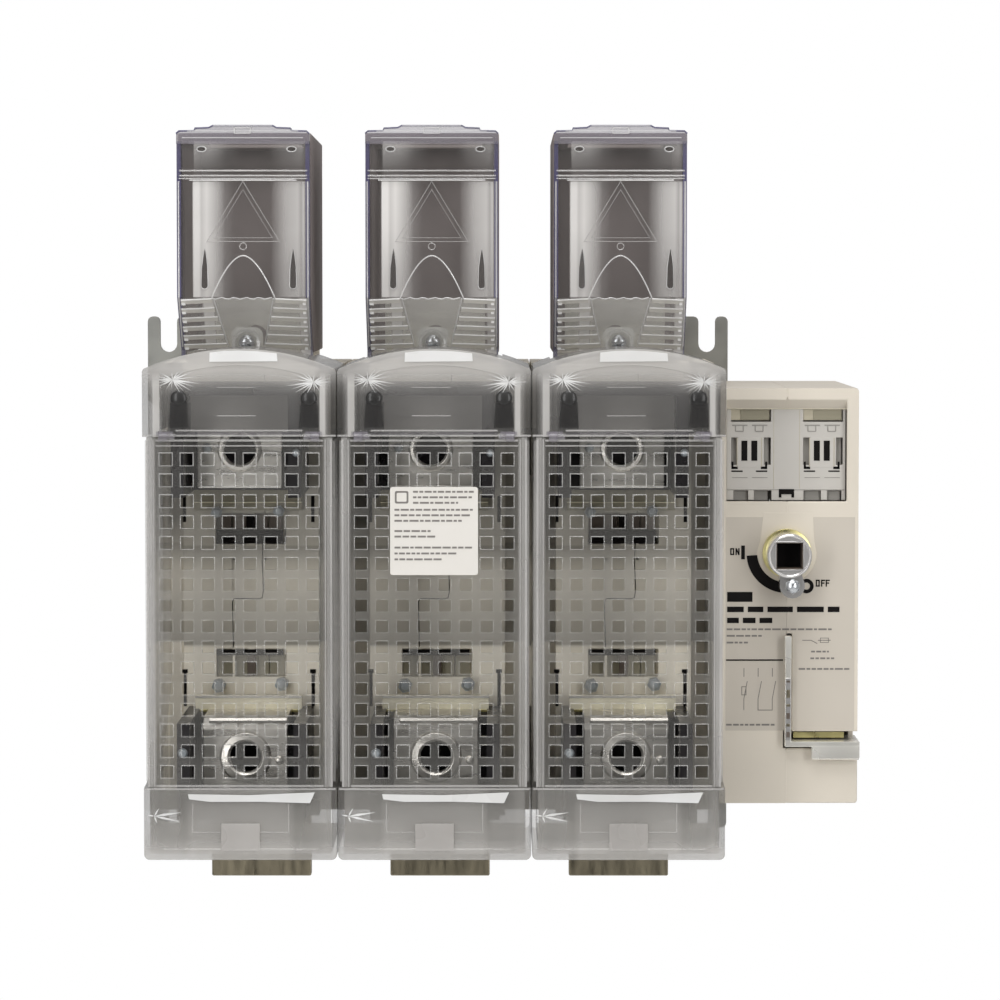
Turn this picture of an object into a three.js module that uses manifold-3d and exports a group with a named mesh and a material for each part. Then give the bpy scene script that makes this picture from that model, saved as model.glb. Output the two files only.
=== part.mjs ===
// Three-pole fused disconnect switch for bolt-in class L fuses, as an assembly of separate parts.
// Millimetres. +X is the side with the operating mechanism, +Y goes back into the panel, +Z is up.
// The origin is on the rear face of the mounting plate, behind the middle pole, at half height of the covers.
import * as THREE from "three";
import { mergeVertices } from "three/addons/utils/BufferGeometryUtils.js";
import Module from "manifold-3d";

const wasm = await Module();
wasm.setup();

// Driving dimensions
const POLE_PITCH = 106;
const POLE_HALF = 52.7;
const GAP = 0.3;
const PLATE_T = 3;
const PLATE_X = -1.8;
const PLATE_HALF_W = 174.25;
const LUG_W = 30;
const LUG_TOP = 154.5;
const LUG_FILLET = 3;
const LUG_SLOT_X = 161.65;
const LUG_SLOT_R = 5;
const LUG_SLOT_Z = 138.1;
const BODY_BACK = -PLATE_T - 0.4;
const BODY_FLANK = -112;
const BODY_FRONT = -138;
const BODY_HALF_Z = 129;
const BLOCK_HALF = 38.5;
const WALL = 4;
const INDICATOR_Z = [
  [26.6, 44.3],
  [-49.4, -33.3],
];
const INDICATOR_FLOOR = -131;
const COVER_FRONT = -240;
const COVER_WALL = 3;
const COVER_HALF = 50.5;
const JOINT_TOP = 91.65;
const JOINT_BOTTOM = -99.65;
const SWING_R = JOINT_TOP - JOINT_BOTTOM - 0.1;
const CAP_TOP = 139.6;
const CAP_SHOULDER = 128.4;
const CAP_BOTTOM = -139.6;
const FUSE_HOLE_R = 8.75;
const FUSE_HOLE_TOP = 83;
const FUSE_HOLE_PITCH = 171.45;
const FUSE_PLATE_Y = -195;
const FUSE_PLATE_T = 6;
const FUSE_HALF = 23.5;
const TERMINAL_HALF = 29.5;
const TERMINAL_Y0 = -47;
const TERMINAL_Y1 = -39;
const TERMINAL_PAD_Y = -48;
const LOAD_END = -177;
const LOAD_HOLE_Z = -155;
const LINE_END = 165.3;
const LINE_HOLE_Z = 143;
const TERMINAL_HOLE_R = 7;
const LINE_X = -2.6;
const SHROUD_HALF = 37.7;
const SHROUD_FRONT = -145.5;
const SHROUD_BACK = -4.2;
const SHROUD_Z0 = 135;
const SHROUD_TOP_FRONT = 259.5;
const SHROUD_TOP_BACK = 257.4;
const SHROUD_SLOPE_Y = -116;
const SHROUD_SLOPE_Z = 166;
const LID_HALF = 37.3;
const LID_FRONT = -160;
const LID_Z0 = 131.5;
const LID_Z1 = 263.6;
const LID_WALL = 2.5;
const FIX_Z = 141;
const HOUSING_X0 = 159.5;
const HOUSING_X1 = 237.3;
const HOUSING_SPLIT = 197;
const HOUSING_FRONT = -165;
const HOUSING_BACK = -15;
const HOUSING_Z0 = -118.2;
const HOUSING_Z1 = 116.1;
const SHAFT_X = 197;
const SHAFT_Z = 23.4;
const CLAMP_X = 1.8;
const CLAMP_Z = -17;
const CRANK_R = 12;
const PIN_R = 3;
const TRAVEL = 2 * CRANK_R * Math.sin(Math.PI / 4);
const UPPER_STOP = 60;
const LOWER_STOP = -27;
const CONTACT_T = 6;
const BRIDGE_T = 6;
const BAR_Y0 = -90;
const BAR_Y1 = -70;
const BAR_HALF_Z = 9;
const ROD_Y = -27;
const ROD_Z = 100;
const ROD_R = 3;

const material = (color, metalness, roughness) =>
  new THREE.MeshStandardMaterial({ color, metalness, roughness });
const CREAM = material(0xd8d1c3, 0, 0.5);
const GREY = material(0xc4c3bd, 0, 0.5);
const BLACK = material(0x1c1b1d, 0, 0.4);
const DARK = material(0x6b615a, 0, 0.5);
const CLEAR = material(0xc9cace, 0, 0.15);
const TIN = material(0xc9c5bd, 1, 0.3);
const ZINC = material(0xb9bab6, 1, 0.35);
const CHROME = material(0xd5d5d2, 1, 0.15);
const BRASS = material(0xc8b27a, 1, 0.3);

const part = new THREE.Group();

// Geometry as a solid that takes booleans
function solid(geometry) {
  const bare = new THREE.BufferGeometry();
  const plain = geometry.index ? geometry.toNonIndexed() : geometry;
  bare.setAttribute("position", plain.getAttribute("position"));
  const merged = mergeVertices(bare, 1e-4);
  return new wasm.Manifold(
    new wasm.Mesh({
      numProp: 3,
      vertProperties: merged.attributes.position.array,
      triVerts: new Uint32Array(merged.index.array),
    }),
  );
}

function box(x0, x1, y0, y1, z0, z1) {
  const g = new THREE.BoxGeometry(x1 - x0, y1 - y0, z1 - z0);
  g.translate((x0 + x1) / 2, (y0 + y1) / 2, (z0 + z1) / 2);
  return solid(g);
}

function extrusion(points, depth) {
  const shape = new THREE.Shape(points.map(([a, b]) => new THREE.Vector2(a, b)));
  return new THREE.ExtrudeGeometry(shape, { depth, bevelEnabled: false });
}

// A profile of [x, z] points, run from y0 to y1
function prismY(points, y0, y1) {
  const g = extrusion(points, y1 - y0);
  g.rotateX(Math.PI / 2);
  g.translate(0, y1, 0);
  return solid(g);
}

// A profile of [y, z] points, run from x0 to x1
function prismX(points, x0, x1) {
  const g = extrusion(points, x1 - x0);
  const cycle = new THREE.Matrix4().set(0, 0, 1, 0, 1, 0, 0, 0, 0, 1, 0, 0, 0, 0, 0, 1);
  g.applyMatrix4(cycle);
  g.translate(x0, 0, 0);
  return solid(g);
}

// A round bar along y, centred on x, z
function rodY(x, z, r, y0, y1, n) {
  const g = new THREE.CylinderGeometry(r, r, y1 - y0, n);
  g.translate(x, (y0 + y1) / 2, z);
  return solid(g);
}

// A round bar along x, centred on y, z
function rodX(y, z, r, x0, x1, n) {
  const g = new THREE.CylinderGeometry(r, r, x1 - x0, n);
  g.rotateZ(Math.PI / 2);
  g.translate((x0 + x1) / 2, y, z);
  return solid(g);
}

function join(first, ...rest) {
  return rest.reduce((sum, s) => sum.add(s), first);
}

function cut(first, ...rest) {
  return rest.reduce((left, s) => left.subtract(s), first);
}

function node(name, body, look, x = 0) {
  const data = body.getMesh();
  const stride = data.numProp;
  const positions = new Float32Array(data.numVert * 3);
  for (let i = 0; i < data.numVert; i++) {
    const at = i * stride;
    positions.set(data.vertProperties.subarray(at, at + 3), i * 3);
  }
  const g = new THREE.BufferGeometry();
  g.setAttribute("position", new THREE.BufferAttribute(positions, 3));
  g.setIndex(new THREE.BufferAttribute(data.triVerts, 1));
  const flat = g.toNonIndexed();
  flat.computeVertexNormals();
  const mesh = new THREE.Mesh(flat, look);
  mesh.name = name;
  mesh.position.x = x;
  part.add(mesh);
}

// Points of an arc, in degrees, centred on a, b
function arc(a, b, r, from, to, n) {
  return Array.from({ length: n + 1 }, (_, i) => {
    const t = THREE.MathUtils.degToRad(from + ((to - from) * i) / n);
    return [a + r * Math.cos(t), b + r * Math.sin(t)];
  });
}

// Mounting plate with four open-ended slots
function mountingPlate() {
  const inner = PLATE_HALF_W - LUG_W;
  const f = LUG_FILLET;
  const shoulder = LUG_TOP - f;
  const near = LUG_SLOT_X - LUG_SLOT_R;
  const far = LUG_SLOT_X + LUG_SLOT_R;
  const lug = (sx, sz) => {
    const points = [
      [inner, 118],
      ...arc(inner + f, shoulder, f, 180, 90, 3),
      ...arc(near - f, shoulder, f, 90, 0, 3),
      ...arc(LUG_SLOT_X, LUG_SLOT_Z, LUG_SLOT_R, 180, 360, 8),
      ...arc(far + f, shoulder, f, 180, 90, 3),
      ...arc(PLATE_HALF_W - f, shoulder, f, 90, 0, 3),
      [PLATE_HALF_W, 104],
      [157, 90],
    ];
    return points.map(([x, z]) => [PLATE_X + sx * x, sz * z]);
  };
  const outline = [
    ...lug(-1, 1).reverse(),
    ...lug(1, 1),
    ...lug(1, -1).reverse(),
    ...lug(-1, -1),
  ];
  return prismY(outline.reverse(), -PLATE_T, 0);
}

// Moulded body of one pole, before it is parted into two shells
function poleBody() {
  const z = BODY_HALF_Z;
  const main = box(-POLE_HALF, POLE_HALF, BODY_FLANK, BODY_BACK, -z, z);
  const block = box(-BLOCK_HALF, BLOCK_HALF, BODY_FRONT, BODY_FLANK + 1, -z, z);
  const collar = box(LINE_X - 36, LINE_X + 36, -110, -6, z - 1, SHROUD_Z0 - GAP);
  const ear = box(LINE_X - 8, LINE_X + 8, -126, -114, z - 1, FIX_Z + 7);
  const room = box(WALL - POLE_HALF, POLE_HALF - WALL, BODY_FLANK + WALL, BODY_BACK - WALL, 10 - z, z - 10);
  const bay = box(WALL - BLOCK_HALF, BLOCK_HALF - WALL, BODY_FRONT + WALL, BODY_FLANK + WALL + 1, 10 - z, z - 10);
  const lineWay = box(LINE_X - 30, LINE_X + 30, TERMINAL_Y0 - 0.5, TERMINAL_Y1 + 0.5, 100, SHROUD_Z0 + 1);
  const loadWay = box(-30, 30, TERMINAL_Y0 - 0.5, TERMINAL_Y1 + 0.5, -z - 1, -100);
  const upperWay = box(LINE_X - 24, LINE_X + 24, BODY_FRONT - 1, -130, 96.5, 103.5);
  const lowerWay = box(-24, 24, BODY_FRONT - 1, -130, -72.5, -65.5);
  const windows = INDICATOR_Z.flatMap(([z0, z1]) => [
    box(-20, -2, BODY_FRONT - 1, INDICATOR_FLOOR, z0, z1),
    box(2, 20, BODY_FRONT - 1, INDICATOR_FLOOR, z0, z1),
  ]);
  const floors = INDICATOR_Z.map(([z0, z1]) =>
    box(-22, 22, BODY_FRONT + 2, INDICATOR_FLOOR + 2, z0 - 2, z1 + 2),
  );
  const barWay = box(-60, 60, BAR_Y0 - 1, BAR_Y1 + 1, -10, BAR_HALF_Z + TRAVEL + 1);
  const rodWays = [ROD_Z, -ROD_Z].map((rz) => rodX(ROD_Y, rz, ROD_R + 0.5, -60, 60, 12));
  const screwWay = rodY(LINE_X, FIX_Z, 2.6, -127, -113, 10);
  return cut(
    join(cut(join(main, block, collar, ear), room, bay), ...floors),
    lineWay,
    loadWay,
    upperWay,
    lowerWay,
    ...windows,
    barWay,
    ...rodWays,
    screwWay,
  );
}

// One side of the stepped parting line
function shellSide(left) {
  const s = left ? -1 : 1;
  const edge = 0.15 * s;
  const far = 60 * s;
  const points = [
    [far, -150],
    [-10 + edge, -150],
    [-10 + edge, 18 - 0.15 * s],
    [8 + edge, 18 - 0.15 * s],
    [8 + edge, 160],
    [far, 160],
  ];
  return prismY(left ? points.reverse() : points, -150, 10);
}

// A pair of solids mirrored in x, made from the near and far x of the right-hand one
function pair(near, far, make) {
  return [make(-far, -near), make(near, far)];
}

// Points of the swing arc of the cover about its hinge, from y0 to y1
function swingArc(r, y0, y1, n) {
  return Array.from({ length: n + 1 }, (_, i) => {
    const dy = y0 + ((y1 - y0) * i) / n - COVER_FRONT;
    return [COVER_FRONT + dy, JOINT_TOP - Math.sqrt(r * r - dy * dy)];
  });
}

const hingeRod = (r, n) => (x0, x1) => rodX(COVER_FRONT, JOINT_TOP, r, x0, x1, n);

// Fuse cover: plain front with side walls, and the moving half of its hinge
function fuseCover() {
  const back = BODY_FLANK - 2.3;
  const top = JOINT_TOP - 0.15;
  const bottom = JOINT_BOTTOM + 0.15;
  const skin = box(-COVER_HALF, COVER_HALF, COVER_FRONT, COVER_FRONT + COVER_WALL, bottom, top);
  const profile = [
    [COVER_FRONT + 1, top],
    ...swingArc(SWING_R, COVER_FRONT + 1, back, 8),
    [back, top],
  ];
  const sides = pair(COVER_HALF - COVER_WALL, COVER_HALF, (x0, x1) => prismX(profile, x0, x1));
  const notches = pair(34.2, 38.9, hingeRod(3.2, 16));
  const knuckles = pair(39.1, 43.6, hingeRod(2.6, 16));
  const pins = pair(35.2, 40, hingeRod(1.2, 8));
  return join(cut(join(skin, ...sides), ...notches), ...knuckles, ...pins);
}

function archOutline(inset, z0) {
  const half = POLE_HALF - inset;
  const rise = CAP_TOP - CAP_SHOULDER;
  const r = (POLE_HALF ** 2 + rise ** 2) / (2 * rise);
  const span = THREE.MathUtils.radToDeg(Math.asin((half - 3) / r));
  const crown = arc(0, CAP_TOP - r, r - inset, 90 - span, 90 + span, 12);
  const corner = crown[0][1] - 2.5;
  return [[-half, z0], [half, z0], [half, corner], ...crown, [-half, corner]];
}

// Upper end cap: an arched hood, with the fixed half of the cover's hinge
function upperCap() {
  const z0 = JOINT_TOP + 0.15;
  const hood = prismY(archOutline(0, z0), COVER_FRONT, BODY_FLANK - GAP);
  const hollow = prismY(archOutline(COVER_WALL, z0 - 5), COVER_FRONT + COVER_WALL, BODY_FLANK + 5);
  const relief = box(-42, 37, LID_FRONT - 1.5, BODY_FLANK + 5, 118, 150);
  const notches = pair(38.8, 43.9, hingeRod(3.2, 16));
  const knuckles = pair(34.5, 38.6, hingeRod(2.6, 16));
  const bores = pair(34.9, 39, hingeRod(1.6, 8));
  return cut(join(cut(hood, hollow, relief, ...notches), ...knuckles), ...bores);
}

// Lower end cap: a trough under the cover
function lowerCap() {
  const z1 = JOINT_BOTTOM - 0.15;
  const c = 3;
  const outline = [
    [-POLE_HALF, z1],
    [-POLE_HALF, CAP_BOTTOM + c],
    [c - POLE_HALF, CAP_BOTTOM],
    [POLE_HALF - c, CAP_BOTTOM],
    [POLE_HALF, CAP_BOTTOM + c],
    [POLE_HALF, z1],
  ];
  const trough = prismY(outline, COVER_FRONT, BODY_FLANK - GAP);
  const w = POLE_HALF - COVER_WALL;
  const hollow = box(-w, w, COVER_FRONT + COVER_WALL, BODY_FLANK + 5, CAP_BOTTOM + COVER_WALL, z1 + 5);
  const pad = box(-10.5, 10.5, COVER_FRONT + COVER_WALL - 1, COVER_FRONT + 9, CAP_BOTTOM + 2, CAP_BOTTOM + 19);
  const profile = [
    [BODY_FLANK - GAP, z1 - 1],
    ...swingArc(SWING_R + 0.6, BODY_FLANK - GAP, COVER_FRONT + COVER_WALL, 10),
    [COVER_FRONT + COVER_WALL, z1 - 1],
  ];
  const cheeks = pair(w, POLE_HALF, (x0, x1) => prismX(profile, x0, x1));
  return join(cut(trough, hollow), pad, ...cheeks);
}

// Bent fuse contact as a profile of [y, z] points
function fuseContact(upper) {
  const y0 = FUSE_PLATE_Y;
  const y1 = y0 + FUSE_PLATE_T;
  const t = CONTACT_T;
  const riser = -100;
  const points = upper
    ? [
        [y0, 61.6],
        [y1, 61.6],
        [y1, 97],
        [riser - t, 97],
        [riser - t, UPPER_STOP],
        [-85, UPPER_STOP],
        [-85, UPPER_STOP + t],
        [riser, UPPER_STOP + t],
        [riser, 103],
        ...arc(y0 + 7, 96, 7, 90, 180, 3),
      ]
    : [
        [y0, -105],
        [y1, -105],
        [y1, -72],
        [riser, -72],
        [riser, LOWER_STOP],
        [-85, LOWER_STOP],
        [-85, LOWER_STOP + t],
        [riser - t, LOWER_STOP + t],
        [riser - t, -66],
        ...arc(y0 + 7, -73, 7, 90, 180, 3),
      ];
  const z = upper ? FUSE_HOLE_TOP : FUSE_HOLE_TOP - FUSE_HOLE_PITCH;
  const hole = rodY(0, z, FUSE_HOLE_R, y0 - 1, y1 + 1, 20);
  return cut(prismX(points, -FUSE_HALF, FUSE_HALF), hole);
}

// Insulating cheeks round a fuse contact
function insulator(upper) {
  const [z0, z1] = upper ? [58, 119] : [-119, -66];
  const web = upper ? [58, 96.5] : [-119, -72.5];
  const front = -229;
  const back = BODY_FRONT - GAP;
  const cheeks = pair(28.5, 35.5, (x0, x1) => box(x0, x1, front, back, z0, z1));
  const plate = box(-35, 35, back - 6, back, ...web);
  const end = upper ? [114, 119] : [-119, -114];
  const shelf = box(-35, 35, front, back, ...end);
  return join(plate, shelf, ...cheeks);
}

// Terminal bars: an inner foot that meets the bridge, and a raised pad for the cable lug
function lineTerminal() {
  const points = [
    [TERMINAL_Y1, UPPER_STOP],
    [TERMINAL_Y1, LINE_END],
    [TERMINAL_PAD_Y, LINE_END],
    [TERMINAL_PAD_Y, SHROUD_Z0 + 2],
    [TERMINAL_Y0, SHROUD_Z0 + 2],
    [TERMINAL_Y0, UPPER_STOP + CONTACT_T],
    [-75, UPPER_STOP + CONTACT_T],
    [-75, UPPER_STOP],
  ];
  const hole = rodY(0, LINE_HOLE_Z, TERMINAL_HOLE_R, TERMINAL_Y0 - 2, TERMINAL_Y1 + 1, 20);
  return cut(prismX(points, -TERMINAL_HALF, TERMINAL_HALF), hole);
}

function loadTerminal() {
  const points = [
    [TERMINAL_PAD_Y, LOAD_END],
    [TERMINAL_Y1, LOAD_END],
    [TERMINAL_Y1, LOWER_STOP + CONTACT_T],
    [-75, LOWER_STOP + CONTACT_T],
    [-75, LOWER_STOP],
    [TERMINAL_Y0, LOWER_STOP],
    [TERMINAL_Y0, -BODY_HALF_Z - 1],
    [TERMINAL_PAD_Y, -BODY_HALF_Z - 1],
  ];
  const hole = rodY(0, LOAD_HOLE_Z, TERMINAL_HOLE_R, TERMINAL_Y0 - 2, TERMINAL_Y1 + 1, 20);
  return cut(prismX(points, -TERMINAL_HALF, TERMINAL_HALF), hole);
}

// Dark cable shroud, open at the front and below, with a cable exit in its top
function rearShroud() {
  const h = SHROUD_HALF;
  const profile = [
    [SHROUD_BACK, SHROUD_Z0],
    [SHROUD_BACK, SHROUD_TOP_BACK],
    [SHROUD_FRONT, SHROUD_TOP_FRONT],
    [SHROUD_FRONT, SHROUD_SLOPE_Z],
    [SHROUD_SLOPE_Y, SHROUD_Z0],
  ];
  const inner = box(3 - h, h - 3, SHROUD_FRONT - 1, SHROUD_BACK - 3, SHROUD_Z0 - 1, SHROUD_TOP_BACK - 3);
  const exit = box(-28, 28, -126, -24, SHROUD_TOP_BACK - 5, SHROUD_TOP_FRONT + 1);
  return cut(prismX(profile, -h, h), inner, exit);
}

// Clear lid of the shroud: stepped top, front that slopes back at the bottom, and a screw well
function shroudLid() {
  const h = LID_HALF;
  const w = LID_WALL;
  const half = [
    [h, LID_Z0],
    [h, LID_Z1 - 4.5],
    [h - 1.5, LID_Z1 - 3],
    [h - 10, LID_Z1 - 2.9],
    [h - 10.5, LID_Z1 - 1.4],
    [19, LID_Z1 - 1.2],
    [17, LID_Z1],
  ];
  const outline = [...half, ...half.map(([x, z]) => [-x, z]).reverse()];
  const knee = LID_FRONT + 29;
  const front = [
    [LID_FRONT, LID_Z1 + 1],
    [LID_FRONT, 167],
    [knee, 137],
    [knee, LID_Z0 - 1],
  ];
  const rear = [
    [SHROUD_SLOPE_Y - 0.25, LID_Z0 - 1],
    [SHROUD_SLOPE_Y - 0.25, SHROUD_Z0 - 0.25],
    [SHROUD_FRONT - GAP, SHROUD_SLOPE_Z - 0.2],
    [SHROUD_FRONT - GAP, LID_Z1 + 1],
  ];
  const hollow = [
    [LID_FRONT + w, LID_Z1 - 8.5],
    [LID_FRONT + w, 166],
    [knee + w, 136],
    [knee + w, LID_Z0 - 2],
    [-100, LID_Z0 - 2],
    [-100, LID_Z1 - 8.5],
  ];
  const tray = prismY(outline, LID_FRONT, -100).intersect(prismX([...front, ...rear], -h, h));
  const inner = prismX(hollow, w - h, h - w);
  const ahead = prismX([...front, [-120, LID_Z0 - 1], [-120, LID_Z1 + 1]], -h, h);
  const well = rodY(0, FIX_Z, 8, LID_FRONT + 1, -126.3, 16).intersect(ahead);
  const bore = rodY(0, FIX_Z, 6, LID_FRONT - 1, -129, 16);
  const hole = rodY(0, FIX_Z, 2.6, -131, -125, 10);
  return cut(join(cut(tray, inner), well), bore, hole);
}

function shroudScrew() {
  const head = rodY(0, FIX_Z, 4.5, -132.4, -129.3, 16);
  const shank = rodY(0, FIX_Z, 2, -130, -117, 10);
  return join(head, shank);
}

// Insulating carriage that carries the bridging contacts of all poles and ends in a yoke
function carriage() {
  const bar = box(-POLE_PITCH - 37, 197, BAR_Y0, BAR_Y1, -BAR_HALF_Z, BAR_HALF_Z);
  const upperShelf = UPPER_STOP - GAP - TRAVEL - BRIDGE_T - GAP;
  const lowerShelf = LOWER_STOP - GAP - TRAVEL - BRIDGE_T - GAP;
  const frames = [-1, 0, 1].flatMap((k) => {
    const x = k * POLE_PITCH;
    return [
      box(x - 37, x - 33, -96, -64, lowerShelf - 5, upperShelf),
      box(x + 33, x + 37, -96, -64, lowerShelf - 5, upperShelf),
      box(x - 37, x + 37, -96, -64, upperShelf - 5, upperShelf),
      box(x - 37, x + 37, -96, -64, lowerShelf - 5, lowerShelf),
    ];
  });
  const pinZ = SHAFT_Z - CRANK_R * Math.sin(Math.PI / 4);
  const yoke = box(176, 197, BAR_Y0, -80, 0, pinZ + 8);
  const slot = box(180.6, 193, BAR_Y0 - 1, -79, pinZ - 3.7, pinZ + 3.7);
  return cut(join(bar, yoke, ...frames), slot);
}

function bridge(stop) {
  const top = stop - GAP - TRAVEL;
  return box(-20, 20, -98, -60, top - BRIDGE_T, top);
}

// Spindle with its crank and pin, seen at the open position
function spindle() {
  const a = Math.PI / 4;
  const px = SHAFT_X - CRANK_R * Math.cos(a);
  const pz = SHAFT_Z - CRANK_R * Math.sin(a);
  const shaft = rodY(SHAFT_X, SHAFT_Z, 6, -171.6, -97, 16);
  const hub = rodY(SHAFT_X, SHAFT_Z, 9, -98, -92, 20);
  const web = new THREE.BoxGeometry(CRANK_R, 6, 9);
  web.translate(-CRANK_R / 2, 0, 0);
  web.rotateY(-a);
  web.translate(SHAFT_X, -95, SHAFT_Z);
  const end = rodY(px, pz, 4.5, -98, -92, 16);
  const pin = rodY(px, pz, PIN_R, -93, -81, 12);
  return join(shaft, hub, solid(web), end, pin);
}

// Mechanism housing before it is parted
function housing() {
  const w = 3;
  const c = 1;
  const outline = [
    [HOUSING_X0, HOUSING_Z0],
    [HOUSING_X1 - c, HOUSING_Z0],
    [HOUSING_X1, HOUSING_Z0 + c],
    [HOUSING_X1, HOUSING_Z1 - c],
    [HOUSING_X1 - c, HOUSING_Z1],
    [HOUSING_X0, HOUSING_Z1],
  ];
  const outer = prismY(outline, HOUSING_FRONT, HOUSING_BACK);
  const inner = box(
    HOUSING_X0 + w,
    HOUSING_X1 - w,
    HOUSING_FRONT + w,
    HOUSING_BACK - w,
    HOUSING_Z0 + w,
    HOUSING_Z1 - w,
  );
  const feet = [60, -80].map((z) => box(HOUSING_X0, 173, HOUSING_BACK - 1, BODY_BACK, z, z + 20));
  const pocket = box(163, 230.6, HOUSING_FRONT - 1, HOUSING_FRONT + w + 1, 52.4, 104.4);
  const lintel = box(161, 232.6, HOUSING_FRONT + w - 0.5, HOUSING_FRONT + 8, 104.4, 111.5);
  const slopeLine = [
    [HOUSING_FRONT - 1, 110.76],
    [HOUSING_FRONT - 1, 104.3],
    [HOUSING_FRONT + 5.1, 104.3],
  ];
  const slope = prismX(slopeLine, 163, 230.6);
  const bushWay = rodY(SHAFT_X, SHAFT_Z, 9.4, HOUSING_FRONT - 1, HOUSING_FRONT + w + 1, 24);
  const barWay = box(HOUSING_X0 - 1, HOUSING_X0 + w + 1, BAR_Y0 - 1, BAR_Y1 + 1, -10, 27);
  const slit = box(195.3, 200.1, HOUSING_FRONT - 1, HOUSING_FRONT + w + 1, -87, -22);
  const shelfWay = box(195.3, HOUSING_X1 + 1, HOUSING_FRONT - 1, -136, -87, -77.5);
  const rodWays = [ROD_Z, -ROD_Z].map((z) => rodX(ROD_Y, z, ROD_R + 0.5, 150, HOUSING_X0 + w + 1, 12));
  return cut(join(cut(outer, inner), ...feet, lintel), pocket, slope, bushWay, barWay, slit, shelfWay, ...rodWays);
}

// Light grey holder with two auxiliary contact positions
function auxBlock() {
  const front = -160;
  const floor = front + 9;
  const body = box(163.4, 230.2, front, -144, 52.8, 104);
  const units = [165.8, 206.4].flatMap((x) => [
    box(x, x + 22.4, front - 1, floor, 72.7, 88.1),
    box(x, x + 22.4, front - 1, floor, 97, 105),
  ]);
  const cores = [165.8, 206.4].map((x) => box(x + 3.9, x + 18.5, front, floor + 1, 71, 89));
  const ports = [
    [167.2, 175.5],
    [178.8, 188.6],
    [206.8, 216.5],
    [220, 228.1],
  ].map(([x0, x1]) => box(x0, x1, front - 1, floor, 52, 58.3));
  return join(cut(body, ...units, ...ports), ...cores);
}

function shaftBush() {
  const profile = [
    [6.4, -152],
    [8.8, -152],
    [8.8, -165.4],
    [12.2, -165.4],
    [12.2, -168.4],
    [6.4, -168.4],
    [6.4, -152],
  ];
  const g = new THREE.LatheGeometry(profile.map(([r, y]) => new THREE.Vector2(r, y)), 24);
  g.translate(SHAFT_X, 0, SHAFT_Z);
  const s = solid(g);
  return s.volume() < 0 ? solid(flipped(g)) : s;
}

function flipped(geometry) {
  const g = geometry.toNonIndexed();
  const p = g.getAttribute("position").array;
  for (let i = 0; i < p.length; i += 9) {
    for (let j = 0; j < 3; j++) {
      [p[i + j], p[i + 3 + j]] = [p[i + 3 + j], p[i + j]];
    }
  }
  return g;
}

// Clamp coupling with a square socket for the handle shaft
function coupling() {
  const x = SHAFT_X;
  const z = SHAFT_Z;
  const ring = rodY(x, z, 12.4, -190, -169, 32);
  const ear = [[x - 5.5, z - 9], ...arc(x + CLAMP_X, z + CLAMP_Z, 7, 170, 370, 10), [x + 6.5, z - 9]];
  const lug = prismY(ear, -186, -176);
  const socket = box(x - 7.6, x + 7.6, -191, -174, z - 7.6, z + 7.6);
  const seat = rodY(x, z, 6.3, -175, -168, 16);
  const bolt = rodY(x + CLAMP_X, z + CLAMP_Z, 2.6, -187, -175, 12);
  return cut(join(ring, lug), socket, seat, bolt);
}

function clampScrew() {
  const x = SHAFT_X + CLAMP_X;
  const z = SHAFT_Z + CLAMP_Z;
  const head = rodY(x, z, 4.4, -190, -186.3, 20);
  const shank = rodY(x, z, 2.2, -187, -173, 12);
  return join(head, shank);
}

// Zinc-plated padlock slide: upright blade, shelf and front lip
function padlockSlide() {
  const blade = box(195.9, 199.5, -172, -130, -85.5, -23);
  const shelf = box(199, 238, -172, -138, -85.5, -82.5);
  const lip = box(211, 238, -172, -170, -92, -83);
  return cut(join(blade, shelf, lip), rodX(-167, -52, 3.5, 195, 201, 16));
}

function tieRod(z) {
  const rod = rodX(ROD_Y, z, ROD_R, -160, 168, 12);
  const head = rodX(ROD_Y, z, 5.5, -163, -159.1, 6);
  const nut = rodX(ROD_Y, z, 5.5, 163, 168, 6);
  return join(rod, head, nut);
}

node("mounting_plate", mountingPlate(), ZINC);
const body = poleBody();
[-1, 0, 1].forEach((k, i) => {
  const x = k * POLE_PITCH;
  const n = i + 1;
  node("pole_" + n + "_shell_left", body.intersect(shellSide(true)), CREAM, x);
  node("pole_" + n + "_shell_right", body.intersect(shellSide(false)), CREAM, x);
  node("pole_" + n + "_fuse_cover", fuseCover(), CLEAR, x);
  node("pole_" + n + "_upper_cap", upperCap(), CLEAR, x);
  node("pole_" + n + "_lower_cap", lowerCap(), CLEAR, x);
  node("pole_" + n + "_upper_fuse_contact", fuseContact(true), TIN, x + LINE_X);
  node("pole_" + n + "_lower_fuse_contact", fuseContact(false), TIN, x);
  node("pole_" + n + "_upper_insulator", insulator(true), BLACK, x + LINE_X);
  node("pole_" + n + "_lower_insulator", insulator(false), BLACK, x);
  node("pole_" + n + "_line_terminal", lineTerminal(), TIN, x + LINE_X);
  node("pole_" + n + "_load_terminal", loadTerminal(), TIN, x);
  node("pole_" + n + "_rear_shroud", rearShroud(), DARK, x + LINE_X);
  node("pole_" + n + "_shroud_lid", shroudLid(), CLEAR, x + LINE_X);
  node("pole_" + n + "_shroud_screw", shroudScrew(), ZINC, x + LINE_X);
  node("pole_" + n + "_upper_bridge", bridge(UPPER_STOP), TIN, x);
  node("pole_" + n + "_lower_bridge", bridge(LOWER_STOP), TIN, x);
});
const shell = housing();
const tall = [-200, 10, -200, 200];
node("housing_left", shell.intersect(box(150, HOUSING_SPLIT - 0.15, ...tall)), CREAM);
node("housing_right", shell.intersect(box(HOUSING_SPLIT + 0.15, 250, ...tall)), CREAM);
node("aux_contact_holder", auxBlock(), GREY);
node("contact_carriage", carriage(), BLACK);
node("spindle_crank", spindle(), ZINC);
node("shaft_bush", shaftBush(), BRASS);
node("shaft_coupling", coupling(), CHROME);
node("clamp_screw", clampScrew(), ZINC);
node("padlock_slide", padlockSlide(), ZINC);
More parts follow.
